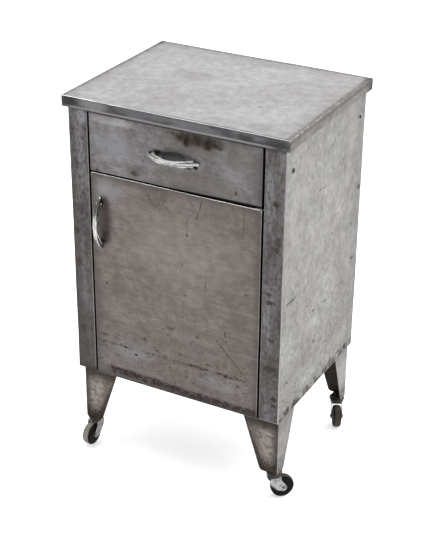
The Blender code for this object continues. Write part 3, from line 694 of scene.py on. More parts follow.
def stain_wall(s, side, fine, lower):
    """Outside of the walls: lumps, smears and rust that thickens downwards, and marks on the right wall."""
    x, y, z = s.axes
    lumps = s.noise(0.008, (1, 1, 2.2), detail=5.0, roughness=0.7, shift=8.8)
    s.lay((side, s.ramp(lumps, 0.5, 0.66)), tint(STEEL, 0.46, 0.08), 0.45)
    smears = s.noise(0.022, (1, 1, 4.5), detail=5.0, roughness=0.62, shift=2.1, distortion=0.5)
    downwards = s.ramp(z, SKIRT_Z - 0.12, BODY_Z + 0.1, 0.25, 1.0)
    s.lay((side, s.ramp(smears, 0.5, 0.68), downwards), tint(STEEL, 0.5, 0.1), 0.6)
    s.lay((side, s.ramp(y, 0.02, BACK_Y)), tint(STEEL, 0.3, 0.03), 0.7)
    pinkish = s.noise(0.055, (1, 1, 1.4), detail=3.0, shift=11.3)
    s.lay((side, s.ramp(pinkish, 0.48, 0.64)), tint(STEEL, 0.64, 0.09), 0.55)
    stains = on_side(
        s, (-131, 638.5, 44, 34, 0.7), (-128.5, 420, 24, 34, 0.7), (-20, 309, 110, 44, 0.8),
        (100, 660, 16, 120, 0.8), (110, 390, 24, 60, 0.8), (80, 542, 38, 34, 1.0), (64, 298, 60, 50, 0.9),
        (152.6, 609, 50, 40, 0.8), (86, 448, 30, 66, 0.6), (-125, 303.5, 28, 30, 0.6),
        (-174, 610, 10, 28, 0.9)
    )
    patchy = s.noise(0.014, (1, 1, 1.5), detail=6.0, roughness=0.7, shift=14.2)
    right = s.times(side, s.ramp(x, -0.01, 0.01))
    s.lay((right, stains, s.ramp(patchy, 0.42, 0.62)), tint(STEEL, 0.26, 0.17))
    pale = on_side(
        s, (-25, 365, 40, 18, 0.9), (-140, 350, 40, 120, 0.5), (-42, 248, 70, 20, 0.9),
        (-170, 360, 12, 90, 0.7), (80, 580, 16, 8, 0.8), (-120, 334, 30, 7, 0.8), (-140, 660, 30, 120, 0.5)
    )
    s.lay((right, pale), (0.235, 0.238, 0.24), 0.55)
    spots = on_side(
        s, (166.5, 431, 9, 4, 1.0), (-28, 395, 7, 3, 1.0), (-140, 470, 34, 2.4, 1.0),
        (152.6, 517, 6, 4, 0.8), (-61, 420, 6, 3, 0.8), (-19.6, 317, 5, 6, 0.8), (-144.7, 284, 8, 4, 0.9),
        (181, 592, 9, 7, 1.0), (30, 390, 10, 2.4, 0.8), (-12, 662, 26, 2.0, 0.7), (-136, 216, 9, 7, 1.0),
        (-105.8, 217, 9, 6, 1.0), (-44.6, 219, 8, 7, 1.0), (-5.8, 221, 6, 5, 0.8), (74.8, 221, 9, 6, 1.0),
        (119.3, 221, 7, 5, 0.9), (152.6, 217, 12, 9, 1.0), (36, 212, 8, 4, 0.8), plain=True
    )
    broken = s.noise(0.0055, roughness=0.7, shift=4.2)
    dark = s.times(right, spots, s.ramp(broken, 0.34, 0.46))
    s.lay(dark, (0.016, 0.012, 0.009), 1.0, 0.75, 0.9)
    s.lay((side, s.ramp(fine, 0.56, 0.64), lower), tint(STEEL, 0.2, 0.16), 0.9, 0.6, 0.6)
    swathe = s.noise(0.016, detail=3.0, shift=1.9)
    edge = s.times(s.ramp(z, BODY_Z + 0.024, BODY_Z + 0.003), s.ramp(swathe, 0.42, 0.54))
    s.lay(edge, (0.024, 0.016, 0.012), 0.9, 0.75, 0.8)
    s.lay((side, s.ramp(z, BODY_Z + 0.005, BODY_Z + 0.002)), (0.05, 0.038, 0.031), 0.75, 0.7, 0.8)
    # Painted shade: black around each towel bar hole, widening its dark
    for hole_y in HOLE_PLACES:
        hole = s.spot((HALF_W, hole_y, HOLE_Z), (None, 0.0078, 0.0078), plain=True)
        s.lay((side, s.ramp(hole, 0.55, 0.8)), SHADE_AND_GREASE, 1.0, 0.8, 1.0)


def stain_posts(s, front, fine, lower):
    """Front posts: darkened by painted shade, clouded, nicked and spotted, dimmer towards the foot and along the
    outer folds, with painted highlights and a painted shadow under the skirt.
    """
    x, _, z = s.axes
    # Painted shade: the front faces darker than the sides of the walls
    s.lay(front, (0.086, 0.079, 0.08), 0.8, 0.38, 0.85)
    cloud = s.noise(0.03, (1, 1, 4.0), detail=5.0, roughness=0.6, shift=2.7)
    s.lay((front, s.ramp(cloud, 0.44, 0.64)), (0.052, 0.046, 0.046), 0.85)
    s.lay((front, s.ramp(cloud, 0.48, 0.32)), (0.15, 0.148, 0.164), 0.75)
    nicks = s.noise(0.0062, (1, 1, 1.8), detail=5.0, roughness=0.72, shift=1.4)
    s.lay((front, s.ramp(nicks, 0.5, 0.62)), (0.034, 0.028, 0.027), 0.7)
    s.lay((front, s.ramp(nicks, 0.46, 0.34)), (0.16, 0.154, 0.158), 0.55)
    marks = on_front(
        s, MIDDLE, (-228.5, 533.5, 6, 8, 0.9), (-228.5, 458.5, 10, 15, 0.9), (-208.5, 738.5, 5, 6, 0.9),
        (-223.5, 303.5, 8, 10, 0.8), (-224, 690, 8, 14, 0.7), (-210, 620, 7, 9, 0.6),
        (219.5, 691, 10, 9, 0.9), (228.5, 611, 9, 17, 0.7), (211, 496, 10, 6, 0.9),
        (216, 478.5, 14, 6, 0.9), (216, 328.5, 20, 9, 0.7), (220, 395, 12, 6, 0.7), (225.1, 594, 8, 9, 0.9),
        (228.3, 260, 8, 8, 1.0), (228.3, 244, 8, 5, 1.0)
    )
    s.lay((front, s.ramp(z, 0.56, 0.26), s.ramp(x, 0.2, -0.2, 0.3, 1.0)), (0.05, 0.044, 0.042), 0.6)
    s.lay((front, marks), (0.03, 0.022, 0.019), 0.9, 0.6, 0.8)
    # Painted highlight near the top of the left post
    s.lay((front, on_front(s, MIDDLE, (-208, 786, 14, 22, 1.0))), (0.23, 0.232, 0.256), 0.7)
    sheen = on_front(s, MIDDLE, (-215, 710, 14, 110, 1.0), (207.5, 710, 11, 80, 1.0), (-214, 390, 8, 60, 0.5))
    s.lay((front, sheen, s.ramp(nicks, 0.7, 0.4)), (0.18, 0.182, 0.206), 0.5)
    outer = s.times(s.ramp(s.absolute(x), HALF_W - 0.01, HALF_W - 0.002), s.ramp(z, 0.66, 0.52))
    s.lay((front, outer, s.ramp(x, 0.2, -0.2, 0.3, 1.0)), (0.04, 0.034, 0.033), 0.7)
    # Painted shadow under the skirt, at the top of the posts, stronger on the right
    head = s.ramp(z, SKIRT_Z - 0.014, SKIRT_Z - 0.001)
    s.lay((front, head, s.ramp(x, -0.2, 0.2, 0.4, 1.0)), SHADE_AND_GREASE, 0.75, 0.7, 0.3)
    dull = on_front(s, MIDDLE, (-230, 470, 14, 130, 1.0), (215, 560, 22, 70, 0.7))
    s.lay((front, dull), (0.044, 0.038, 0.036), 0.6)
    blot = s.noise(0.01, (1.3, 1, 1), shift=12.9)
    s.lay((front, s.ramp(blot, 0.57, 0.68)), (0.085, 0.058, 0.042), 0.6, 0.6, 0.4)
    s.lay((front, s.ramp(fine, 0.56, 0.66), lower), RUST, 0.4, 0.7, 0.3)


def top_steel():
    """Top sheet: pale and cloudy above, partly by painted light, worn dark at the side rims, with a painted
    highlight on the fold in front.
    """
    # Lighter than the other sheets of the same steel: partly painted light on the upward face
    s = steel("top_steel", (0.256, 0.256, 0.26), (6, 6, 1), roughness=0.46, pits=0.15, mottle=0.16,
              streak=0.15, marking=0.22)
    x, y, z = s.axes
    smears = s.noise(0.022, (1.5, 1, 1), detail=5.0, roughness=0.6, shift=4.4, distortion=0.6)
    s.lay(s.ramp(smears, 0.44, 0.7), tint(STEEL, 0.78), 0.35)
    marks = on_top(s, (122.5, -66.5, 5, 6, 1.0), (-47.5, 81, 3, 5, 0.8), (-110, 6, 4, 5, 0.8),
                   (117.5, 68.5, 4, 5, 0.6), (127.5, 192, 16, 6, 0.8))
    s.lay(marks, tint(STEEL, 0.25, 0.05), 0.85, 0.6, 0.5)
    shades = on_top(s, (-82.5, 34, 60, 40, 1.0), (165, -162, 55, 26, 1.0))
    s.lay(shades, tint(STEEL, 0.62, 0.03), 0.55)
    rim_x = s.minus(TOP_HIGH.x, s.absolute(x))
    rim_front = s.minus(y, TOP_LOW.y)
    rim_back = s.minus(TOP_HIGH.y, y)
    rim_sides = s.smaller(rim_back, rim_x)
    up = s.ramp(s.facing[2], 0.55, 0.85)
    s.lay((up, s.ramp(rim_sides, 0.06, 0.004)), tint(STEEL, 0.62, 0.02), 0.6)
    ragged_rim = s.maths("MULTIPLY_ADD", s.noise(0.012, shift=6.6), 0.014, rim_sides)
    worn_rim = s.times(s.ramp(ragged_rim, 0.0215, 0.0125), s.ramp(z, TOP_Z - 0.011, TOP_Z - 0.006))
    backwards = s.ramp(y, FRONT_Y - 0.01, BACK_Y, 0.8, 1.0)
    worn_rim = s.times(worn_rim, s.ramp(s.facing[1], -0.75, -0.45), backwards)
    ragged = s.noise(0.009, (1, 1.6, 1), detail=5.0, roughness=0.7, shift=8.1)
    worn_rim = s.times(worn_rim, s.ramp(ragged, 0.34, 0.52, 0.35, 1.0))
    # A dark line on the top just behind the front fold, fading out to the left
    dark_line_behind_fold = s.times(up, s.between(rim_front, 0.003, 0.0056, 0.0014), s.ramp(x, -0.14, 0.02))
    s.lay(dark_line_behind_fold, tint(STEEL, 0.22), 0.8)
    side, run = stain_skirt(s, ragged)
    s.lay(worn_rim, (0.06, 0.051, 0.046), 0.8, 0.6, 0.75)
    corner = s.times(s.larger(side, up), s.ramp(y, TOP_HIGH.y - 0.05, TOP_HIGH.y - 0.008))
    s.lay((corner, s.ramp(rim_x, 0.02, 0.004)), (0.03, 0.027, 0.026), 0.92, 0.6, 0.85)
    # Painted highlight on the front fold, brightest at the left
    crest = s.times(folds(s), s.ramp(y, TOP_LOW.y + 0.006, TOP_LOW.y + 0.002))
    crest = s.times(crest, s.ramp(z, TOP_Z - 0.004, TOP_Z - 0.003), s.ramp(run, 0.74, 0.5))
    s.lay(crest, (0.27, 0.27, 0.275), 0.9, 0.3, 1.0)
    s.lay((crest, s.ramp(x, -0.09, -0.15)), (0.55, 0.55, 0.55), 0.9, 0.24, 1.0)
    return s.finish()


def stain_skirt(s, ragged):
    """Skirt of the top: dark and bluish in front by painted shade, with a pale hem over a painted shade line,
    brown at the sides.
    """
    x, y, z = s.axes
    upright = s.ramp(s.facing[2], 0.6, 0.2)
    front = s.times(upright, s.ramp(s.facing[1], -0.3, -0.7))
    # Painted shade: the front of the skirt darker than the top
    s.lay(front, (0.088, 0.086, 0.093), 0.95, 0.36, 0.9)
    run = s.noise(0.018, (3.5, 1, 1), detail=5.0, roughness=0.6, shift=5.2)
    s.lay((front, s.ramp(run, 0.42, 0.6)), (0.044, 0.042, 0.047), 0.85)
    s.lay((front, s.ramp(run, 0.4, 0.28)), (0.15, 0.15, 0.162), 0.6)
    s.lay((front, s.ramp(run, 0.6, 0.7)), (0.075, 0.052, 0.04), 0.5, 0.6, 0.5)
    lighter = s.spot((TOP_LOW.x + 0.075, TOP_LOW.y, TOP_Z - 0.008), (0.045, None, 0.016))
    s.lay((front, lighter), (0.19, 0.188, 0.196), 0.7)
    crest = Vector((0, 0, TOP_Z))
    blots = on_front(
        s, crest, (-231.5, -10, 24, 22, 1.0), (223.5, -12, 34, 14, 0.8), (159.5, -13, 24, 12, 0.9)
    )
    s.lay((front, blots), (0.026, 0.024, 0.025), 0.9)
    hem = s.times(s.ramp(z, SKIRT_Z + 0.006, SKIRT_Z + 0.004), front)
    right_end = s.ramp(x, TOP_HIGH.x - 0.02, TOP_HIGH.x - 0.045)
    hem = s.times(hem, right_end, s.ramp(x, TOP_LOW.x, TOP_LOW.x + 0.03))
    s.lay(hem, tint(STEEL, 0.85), 0.75)
    # Painted shade: a dark line along the foot of the front
    s.lay((s.ramp(z, SKIRT_Z + 0.002, SKIRT_Z + 0.0008), front), tint(STEEL, 0.25), 0.85)
    side = s.times(upright, s.ramp(s.absolute(s.facing[0]), 0.5, 0.8))
    s.lay(side, (0.096, 0.089, 0.082), 0.85)
    s.lay((side, s.ramp(y, -0.1, -0.19)), (0.056, 0.05, 0.046), 0.6)
    s.lay((side, s.ramp(ragged, 0.4, 0.62)), (0.075, 0.066, 0.06), 0.6)
    return side, run


def leg_steel():
    """Legs: brown and grimy at the head, the foot and the free edges, paler down the middle."""
    s = steel("leg_steel", (0.176, 0.156, 0.145), (1, 1, 10), pits=0.7, mottle=0.5, streak=0.35, marking=0.5)
    z = s.axes[2]
    blot = s.noise(0.014, (1, 1, 0.8), detail=6.0, roughness=0.66, shift=2.9)
    s.lay(s.ramp(blot, 0.42, 0.7), (0.056, 0.041, 0.034), 0.7, 0.6, 0.8)
    flank = s.ramp(s.absolute(s.facing[0]), 0.4, 0.9)
    s.lay(flank, tint(STEEL, 0.78), 0.65)
    inwards = s.minus(HALF_W, s.absolute(s.axes[0]))
    width = s.ramp(z, CASTER_H, BODY_Z, LEG_FRONT[1], LEG_FRONT[0])
    free_edge = s.minus(width, inwards)
    upright = s.between(z, CASTER_H + 0.034, BODY_Z - 0.04, 0.02)
    middle = s.times(s.between(inwards, 0.024, 0.044, 0.012), upright)
    face = s.minus(1.0, flank)
    s.lay((face, middle, s.ramp(blot, 0.66, 0.4)), (0.28, 0.25, 0.222), 0.65, 0.4, 0.9)
    s.lay((face, s.ramp(free_edge, 0.022, 0.008)), (0.085, 0.068, 0.059), 0.35)
    s.lay((face, s.ramp(free_edge, 0.006, 0.001)), (0.03, 0.022, 0.018), 0.7, 0.6, 0.85)
    s.lay((face, s.ramp(inwards, 0.024, 0.006)), (0.036, 0.028, 0.024), 0.75)
    fine = s.noise(0.0048, roughness=0.65, shift=6.1)
    foot = s.ramp(z, CASTER_H + 0.056, CASTER_H + 0.006)
    s.lay((foot, s.ramp(fine, 0.42, 0.58)), (0.024, 0.016, 0.012), 0.9, 0.75, 0.8)
    s.lay((s.ramp(z, CASTER_H + 0.03, CASTER_H), face), RUST, 0.8, 0.75, 0.8)
    head = s.ramp(z, BODY_Z - 0.046, BODY_Z - 0.012)
    s.lay((head, s.maths("ADD", s.times(face, 0.65), 0.3)), (0.03, 0.022, 0.017), 0.95, 0.6, 0.8)
    # Partly wear, partly a painted highlight on the round folds
    s.lay(folds(s), WORN_AND_HIGHLIGHT, 0.3, 0.35, 1.0)
    # Painted shade on the inner faces of each leg, with rust spots on them
    for k in (0, 1):
        inner = s.ramp(s.times(s.facing[k], s.axes[k]), -0.03, -0.11)
        s.lay(inner, (0.04, 0.03, 0.025), 0.97, 0.8, 0.85)
        s.lay((inner, s.ramp(fine, 0.56, 0.64)), (0.1, 0.072, 0.055), 0.5, 0.8, 0.5)
    return s.finish()


def inner_steel():
    s = steel("inner_steel", tint(STEEL, 0.9), (12, 12, 1), roughness=0.5, pits=0.7, mottle=0.5, streak=0.2)
    film = s.noise(0.09, (1, 1, 1.6), detail=6.0, roughness=0.62, shift=3.3)
    s.lay(s.ramp(film, 0.4, 0.72), (0.1, 0.078, 0.062), 0.55, 0.7, 0.4)
    return s.finish()


def chrome():
    s = Surface("chrome", (0.5, 0.5, 0.49), 0.19, 1.0)
    wear = s.noise(0.009, detail=3.0, shift=1.1)
    s.lay(s.ramp(wear, 0.5, 0.66), (0.22, 0.215, 0.21), 0.8, 0.34)
    # Painted shade on faces turned to the pull's own -Z, and a painted highlight on faces turned to its +Z
    s.lay(s.ramp(s.facing[2], -0.05, -0.45), (0.13, 0.13, 0.127), 0.8)
    s.lay(s.ramp(s.facing[2], 0.1, 0.5), (0.8, 0.8, 0.79), 0.75, 0.32, 0.35)
    scuffs = s.noise(0.001, (18, 1, 1), detail=2.0)
    s.lay(s.ramp(scuffs, 0.55, 0.7), (0.36, 0.355, 0.345), 0.4, 0.24)
    s.raise_by(wear, 0.00002)
    return s.finish()


def fork_plate():
    """Dulled and pitted plating of the casters' forks."""
    s = Surface("fork_plate", (0.3, 0.3, 0.31), 0.24, 1.0)
    wear = s.noise(0.011, roughness=0.6, shift=1.1)
    s.lay(s.ramp(wear, 0.46, 0.6), (0.13, 0.12, 0.115), 0.85, 0.4)
    specks = s.noise(0.002, detail=3.0, shift=2.2)
    s.lay(s.ramp(specks, 0.6, 0.68), (0.05, 0.04, 0.035), 0.7, 0.6, 0.5)
    high = s.ramp(s.axes[2], FORK_TOP - 0.03, FORK_TOP - 0.004, 0.4, 1.0)
    rim = s.times(s.ramp(s.absolute(s.facing[0]), 0.4, 0.8), high)
    s.lay(rim, (0.15, 0.14, 0.13), 0.9, 0.5, 0.7)
    s.raise_by(wear, 0.00006)
    return s.finish()


def zinc():
    s = Surface("zinc", (0.32, 0.32, 0.315), 0.38, 0.95)
    spangle = s.add("TexVoronoi", {0: s.place, "Scale": 260.0}).outputs["Color"]
    grey = s.split(spangle)[0]
    s.lay(s.ramp(grey, 0.0, 1.0), (0.24, 0.24, 0.237), 0.7)
    film = s.noise(0.012, detail=5.0, shift=2.0)
    s.lay(s.ramp(film, 0.46, 0.62), (0.11, 0.078, 0.058), 0.7, 0.6, 0.6)
    s.raise_by(film, 0.00008)
    return s.finish()


def dark_steel():
    s = Surface("dark_steel", (0.045, 0.043, 0.041), 0.45, 0.8)
    film = s.noise(0.006, detail=5.0, roughness=0.65, shift=4.0)
    s.lay(s.ramp(film, 0.42, 0.62), (0.018, 0.014, 0.012), 0.9, 0.7, 0.3)
    s.lay(s.ramp(film, 0.36, 0.26), (0.16, 0.15, 0.14), 0.5, 0.35, 0.9)
    s.raise_by(film, 0.0002)
    return s.finish()


def rubber(name, dust_colour):
    """Black tyre with dust and wear on the tread. The wheel turns about its own Y axis."""
    s = Surface(name, (0.004, 0.0036, 0.0034), 0.6, 0.0)
    x, y, z = s.axes
    radius = s.maths("SQRT", s.maths("ADD", s.times(x, x), s.times(z, z)))
    grain = s.noise(0.0016, roughness=0.7)
    dust = s.noise(0.007, shift=3.0)
    s.lay(s.ramp(dust, 0.55, 0.7), (0.014, 0.012, 0.01), 0.6, 0.7)
    tread = s.times(s.ramp(radius, WHEEL_R - 0.0016, WHEEL_R - 0.0006), s.ramp(s.absolute(y), 0.0072, 0.0042))
    s.lay((tread, s.ramp(dust, 0.2, 0.46)), dust_colour, 0.9, 0.75)
    s.raise_by(grain, 0.0001)
    return s.finish({"Specular IOR Level": 0.1})


# Cabinet


def top_cover(material):
    bm = tray(TOP_LOW, TOP_HIGH, "-Z", corner=0.003, fold=0.0024, lip=OVERHANG - SKIRT_CLEAR)
    handle_roughly(divide(bm))
    make("top_sheet", bm, material, "cabinet", ["top_cover"])


def side_panel(name, side, material, rim_material):
    """Side wall, folded into the front post and its jamb, and into a flange at the back."""
    half = SHEET / 2
    wall, post = HALF_W - half, OPENING + half
    front, back, inner = FRONT_Y + half, BACK_Y - half, FRONT_Y + JAMB_D - half
    path = [
        (side * (HALF_W - 0.015), back),
        (side * wall, back),
        (side * wall, front),
        (side * post, front),
        (side * post, inner),
        (side * (OPENING + 0.012), inner),
    ]
    bm = prism(folded_strip(path), BODY_Z, CAP_Z, "Z")
    holes = [(0.0, hole_y, HOLE_Z) for hole_y in HOLE_PLACES]
    reach = (side * HALF_W - 0.005, side * HALF_W + 0.005)
    rims = bmesh.new()
    for hole in holes:
        bm = combine(bm, "DIFFERENCE", lathe([(0.0032, reach[0]), (0.0032, reach[1])], 24, "X", hole))
        rim = ring_profile(0.0062, 0.0018, side * (HALF_W + 0.0001))
        join(rims, lathe(rim, 32, "X", hole, bored=True))
    handle_roughly(divide(bm))
    make(f"wall_{name}", bm, material, "cabinet", [f"side_panel_{name}"])
    make(f"hole_rims_{name}", handle_roughly(rims), rim_material, "cabinet")


def fronts(drawer_material, door_material):
    bm = tray(DRAWER_LOW, DRAWER_HIGH, "+Y", lip=0.034)
    handle_roughly(divide(bm))
    make("drawer_face", bm, drawer_material, "drawer", ["drawer_front"])
    bm = tray(DOOR_LOW, DOOR_HIGH, "+Y")
    handle_roughly(divide(bm))
    make("door_face", bm, door_material, "door", ["door_skin"])


# Legs and casters


def flange_width(height, wide, narrow):
    """Width of a leg's flange at a height above its foot, with the free corner rounded off."""
    rounding = 0.006
    width = narrow + (wide - narrow) * height / LEG_DROP
    if height < rounding:
        width -= rounding - math.sqrt(rounding**2 - (rounding - height) ** 2)
    return width


def leg(tag, side, end, material):
    """Tapered angle. Its fold stands upright at a corner of the body, and the flanges run inwards."""
    low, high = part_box(f"leg_{tag}")
    corner = Vector((high.x if side > 0 else low.x, high.y if end > 0 else low.y))
    bend, thin = 0.003, 0.003 - LEG_SHEET
    shoulder = LEG_DROP - 0.001
    heights = [0.0, 0.0004, 0.0012, 0.0025, 0.004, 0.006, shoulder - 0.0004, shoulder, high.z - low.z]
    outer = [(bend - bend * math.sin(a), bend - bend * math.cos(a)) for a in quarter()]
    inner = [(bend - thin * math.sin(a), bend - thin * math.cos(a)) for a in quarter()]
    rings = []
    for height in heights:
        hidden = height > shoulder - 0.0001
        front = flange_width(height, *(LEG_FRONT_INSIDE if hidden else LEG_FRONT))
        flank = flange_width(height, *LEG_FLANK)
        outline = outer + [(0.0, flank), (LEG_SHEET, flank)]
        outline += inner[::-1] + [(front, LEG_SHEET), (front, 0.0)]
        z = CASTER_H + height
        rings.append([(corner.x - side * u, corner.y - end * v, z) for u, v in outline])
    bm = handle_roughly(divide(skin(rings), 0.016))
    make(f"tapered_{tag}", bm, material, "cabinet", [f"leg_{tag}"])


def caster_housing():
    """Fixed raceway and its stem, by (radius, height) in mm from the fork's top and from the leg's foot."""
    gap = GAP * 1000
    race = [(4.0, -4.4), (5.2, -3.6), (5.2, -2.1), (3.4, -2.1), (3.4, gap), (14.2, gap), (15.0, 1.0),
            (15.0, 4.4), (14.0, 5.2), (14.0, 6.0), (16.4, 6.4), (17.2, 7.4)]
    stem = [(17.2, -2.2), (16.2, -0.8), (15.0, -gap), (4.1, -gap), (4.1, 3.7), (7.2, 3.7), (7.0, 5.2),
            (5.0, 6.6)]
    profile = [(r / 1000, FORK_TOP + h / 1000) for r, h in race]
    profile += [(r / 1000, CASTER_H + h / 1000) for r, h in stem]
    return lathe(profile, 48)


def fork_cheek():
    """Side view of the fork: square at the top, swept back and down to a round boss at the axle."""
    boss = 0.0075
    top = 0.0125

    def on_boss(degrees):
        turn = math.radians(degrees)
        return (TRAIL + boss * math.cos(turn), WHEEL_R + boss * math.sin(turn))

    outline = [(-top, FORK_TOP + 0.001), (top, FORK_TOP + 0.001)]
    back_edge = ((0.0128, 0.048), (0.0135, 0.042), (0.0215, 0.036), on_boss(25))
    outline += [back_edge[0]] + bezier(*back_edge, 10)
    outline += [on_boss(angle) for angle in range(15, -95, -10)]
    front_edge = (on_boss(-110), (0.004, 0.0205), (-0.011, 0.032), (-top, 0.046))
    outline += [front_edge[0]] + bezier(*front_edge, 12)
    return outline


def caster_fork():
    """Bent strap over the wheel. Origin on the kingpin at floor level, the wheel trailing to +X."""
    side = FORK_GAP / 2 + FORK_SHEET / 2
    top = FORK_TOP - FORK_SHEET / 2
    path = [(-side, 0.01), (-side, top), (side, top), (side, 0.01)]
    bm = prism(folded_strip(path, FORK_SHEET, 0.0028), -0.03, 0.05, "X")
    bm = combine(bm, "INTERSECT", prism(fork_cheek(), -0.03, 0.03, "Y"))
    bm = combine(bm, "DIFFERENCE", lathe([(0.0038, 0.048), (0.0038, 0.06)], 24))
    axle_hole = lathe([(AXLE_R + GAP, -0.03), (AXLE_R + GAP, 0.03)], 24, "Y", (TRAIL, 0.0, WHEEL_R))
    return combine(bm, "DIFFERENCE", axle_hole)


def tyre():
    """Solid tyre about its own Y axis, by (radius, inset from the flank) in mm: crowned, with sunk flanks."""
    half = [(7.3, 1.5), (12.6, 1.5), (13.4, 1.2), (14.2, 0.2), (15.0, 0.0), (20.5, 0.0), (22.2, 0.4),
            (23.8, 1.4), (24.8, 3.0), (25.3, 5.5)]
    half = [(r / 1000, WHEEL_W / 2 - inset / 1000) for r, inset in half]
    profile = [(r, -h) for r, h in half] + [(WHEEL_R, 0.0)] + [(r, h) for r, h in half[::-1]]
    return lathe(profile, 72, "Y", bored=True)


def axle():
    """Rivet through the fork and the hub, with a domed head at each end."""
    seat = FORK_GAP / 2 + FORK_SHEET + GAP
    half = [(0.0012, seat + 0.0023), (0.0026, seat + 0.0021), (0.0038, seat + 0.0014)]
    half += [(0.0044, seat + 0.0006), (0.0044, seat), (AXLE_R, seat)]
    profile = [(r, -h) for r, h in half] + [(r, h) for r, h in half[::-1]]
    return lathe(profile, 32, "Y")


def caster(tag, materials):
    """Housing on the cabinet, fork and rivet that swivel, and a tyre that spins."""
    kingpin = Vector(JOINTS[f"swivel_{tag}"]["pos_m"])
    centre = Vector(JOINTS[f"spin_{tag}"]["pos_m"])
    heading = math.atan2(centre.y - kingpin.y, centre.x - kingpin.x)
    foot = Matrix.Translation((kingpin.x, kingpin.y, 0.0))
    swivel = foot @ Matrix.Rotation(heading, 4, "Z")
    spin = Matrix.Translation(centre) @ Matrix.Rotation(heading, 4, "Z")
    make(f"raceway_{tag}", caster_housing(), materials["dark"], "cabinet",
         [f"caster_housing_{tag}"], foot)
    fork = make(f"fork_{tag}", caster_fork(), materials["fork"], f"caster_{tag}",
                [f"caster_fork_{tag}"], swivel)
    rounding = fork.modifiers.new("rounding", "BEVEL")
    rounding.width = 0.0004
    rounding.segments = 2
    rounding.angle_limit = math.radians(40)
    fork.modifiers.move(1, 0)
    make(f"rivet_{tag}", axle(), materials["zinc"], f"caster_{tag}",
         [f"caster_axle_{tag}"], spin)
    tread = materials["dusty_rubber" if tag == "front_left" else "rubber"]
    make(f"tyre_{tag}", tyre(), tread, f"wheel_{tag}", [f"caster_tyre_{tag}"], spin)


# Pulls


def bow(along_ends, half_width, top, foot, stations=96, points=28, groove=0.0):
    """A closed bar swept along the pull: half_width(x) is (middle, half), top(x) and foot(x) are heights."""
    start, end = along_ends
    rings = []
    for i in range(stations + 1):
        x = start + (end - start) * (0.5 - 0.5 * math.cos(math.pi * i / stations))
        middle, half = half_width(x)
        nearness = min(abs(x - start), abs(end - x)) / 0.0035
        closing = math.sqrt(max(1 - (1 - min(nearness, 1.0)) ** 2, 0.0))
        half *= 0.25 + 0.75 * closing
        upper, lower = top(x) - 0.0022 * (1 - closing), foot(x)
        ring = []
        for k in range(points):
            turn = 2 * math.pi * (k + 0.5) / points
            c, s = math.cos(turn), math.sin(turn)
            across = math.copysign(abs(c) ** 0.75, c)
            out = (upper + lower) / 2 + (upper - lower) / 2 * math.copysign(abs(s) ** 0.5, s)
            out -= groove * max(s, 0.0) * max(1 - (across / 0.55) ** 2, 0.0)
            ring.append((x, -max(out, 0.0), middle + half * across))
        rings.append(ring)
    return skin(rings)


def pull():
    """Bow pull: a plain grip that parts into three fingers at each end. Base on Y = 0, out to -Y."""
    chord = PULL_L / 2
    radius = (chord**2 + PULL_RISE**2) / (2 * PULL_RISE)
    short = chord - 0.0108

    def crown(x):
        return math.sqrt(radius**2 - x**2) - (radius - PULL_RISE) + PULL_TIP

    def back(x):
        return max((crown(x) - 0.0046) * (1 - smooth_step(abs(x), 0.032, 0.044)), 0.0)

    def parting(x):
        return smooth_step(abs(x), 0.008, 0.03)

    def middle_finger(x):
        return 0.0, 0.0052 - 0.0024 * parting(x)

    def low_crown(x):
        return crown(x) - 0.0012 - 0.003 * smooth_step(abs(x), 0.01, short)

    bm = bow((-chord, chord), middle_finger, crown, back, points=40, groove=0.0009)
    for end in (-1, 1):
        for side in (-1, 1):
            def finger(x, side=side):
                return side * (0.0038 + 0.0017 * parting(x)), 0.0014

            ends = (0.004, short) if end > 0 else (-short, -0.004)
            join(bm, bow(ends, finger, low_crown, back, 48))

    def web(x):
        return 0.0, 0.0042 + 0.0012 * parting(x)

    def sunk(x):
        return max(crown(x) - 0.004 - 0.003 * parting(x), 0.0008)

    return join(bm, bow((-short, short), web, sunk, back))


def pulls(material):
    for name, upright in (("drawer", False), ("door", True)):
        low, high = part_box(f"{name}_pull")
        middle = (low + high) / 2
        place = Matrix.Translation((middle.x, high.y, middle.z))
        if upright:
            place = place @ Matrix.Rotation(-math.pi / 2, 4, "Y")
        make(f"{name}_bow", pull(), material, name, [f"{name}_pull"], place, 50)


# Room, light and camera


def studio():
    bm = bmesh.new()
    bmesh.ops.create_grid(bm, x_segments=1, y_segments=1, size=30.0)
    floor = mesh_of(bm, "floor")
    paper = Surface("paper", (0.93, 0.93, 0.93), 0.9, 0.0)
    paper.lay(paper.noise(0.6, detail=2.0), (0.9, 0.9, 0.9), 0.5)
    floor.materials.append(paper.finish({"Specular IOR Level": 0.1, "Emission Strength": 0.46}))
    piece = bpy.data.objects.new("floor", floor)
    bpy.context.scene.collection.objects.link(piece)
    bpy.context.scene.world = surroundings()
    lamp("back_floor", (1.1, 1.5, 1.7), (0.9, 1.2, 0.0), 1.6, 34.0)
    lamp("overhead", (-0.9, -0.5, 2.9), (0.0, 0.0, 0.6), 1.3, 26.0)
    bpy.context.scene.view_settings.view_transform = "Standard"


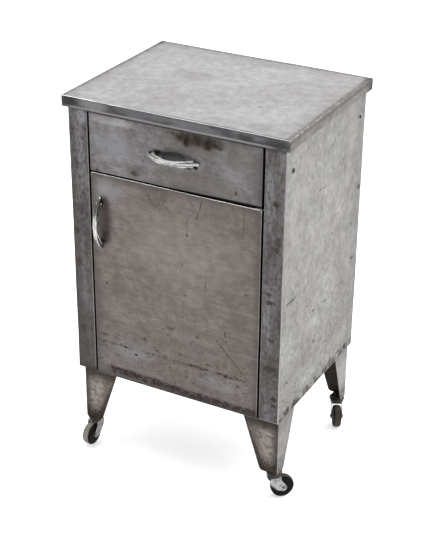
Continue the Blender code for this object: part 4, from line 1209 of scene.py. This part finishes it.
def surroundings():
    """A room that is bright behind the object and dim in front of it."""
    world = bpy.data.worlds.new("studio")
    room = Nodes(world)
    direction = room.add("TexCoord").outputs["Generated"]
    brightest = Vector((0.15, 0.85, 0.25)).normalized()
    towards = room.add("VectorMath", {0: direction, 1: brightest}, operation="DOT_PRODUCT").outputs["Value"]
    values = {"Value": towards, "From Min": -0.45, "From Max": 0.75, "To Min": 0.15, "To Max": 2.2}
    strength = room.add("MapRange", values, interpolation_type="SMOOTHSTEP").outputs["Result"]
    background = room.tree.nodes["Background"]
    room.feed(background.inputs["Strength"], strength)
    room.feed(background.inputs["Color"], (1.0, 1.0, 1.0))
    return world


def lamp(name, location, target, size, power):
    """A square soft box that faces a point."""
    light = bpy.data.lights.new(name, "AREA")
    light.size = size
    light.energy = power
    piece = bpy.data.objects.new(name, light)
    piece.location = location
    aim = Vector(target) - Vector(location)
    piece.rotation_euler = aim.to_track_quat("-Z", "Y").to_euler()
    bpy.context.scene.collection.objects.link(piece)


def camera():
    """Looks down at the front and the right side from a standing person's height."""
    lens = bpy.data.cameras.new("camera")
    lens.lens = 90.574
    lens.sensor_width = 36.0
    piece = bpy.data.objects.new("camera", lens)
    piece.location = (1.2061, -2.2716, 1.7493)
    piece.rotation_euler = [math.radians(angle) for angle in (62.603, -0.464, 28.183)]
    bpy.context.scene.collection.objects.link(piece)
    bpy.context.scene.camera = piece


def main():
    camera()
    studio()
    steels = {"inner": inner_steel(), "wall": wall_steel(), "leg": leg_steel(), "top": top_steel()}
    metals = {"chrome": chrome(), "fork": fork_plate(), "zinc": zinc(), "dark": dark_steel(),
              "rubber": rubber("rubber", (0.06, 0.052, 0.042)),
              "dusty_rubber": rubber("dusty_rubber", (0.33, 0.3, 0.272))}
    for name, piece in frame["nodes"].items():
        slot = next(p["material_slot"] for p in frame["record"]["subparts"] if p["node"] == name)
        material = {"zinc_steel": metals["zinc"], "dark_steel": metals["dark"]}.get(slot, steels["inner"])
        piece.data.materials.clear()
        piece.data.materials.append(material)
    top_cover(steels["top"])
    side_panel("left", -1, steels["wall"], metals["zinc"])
    side_panel("right", 1, steels["wall"], metals["zinc"])
    fronts(drawer_steel(), door_steel())
    pulls(metals["chrome"])
    corners = (("front_right", 1, -1), ("front_left", -1, -1), ("back_right", 1, 1), ("back_left", -1, 1))
    for tag, side, end in corners:
        leg(tag, side, end, steels["leg"])
        caster(tag, metals)


main()
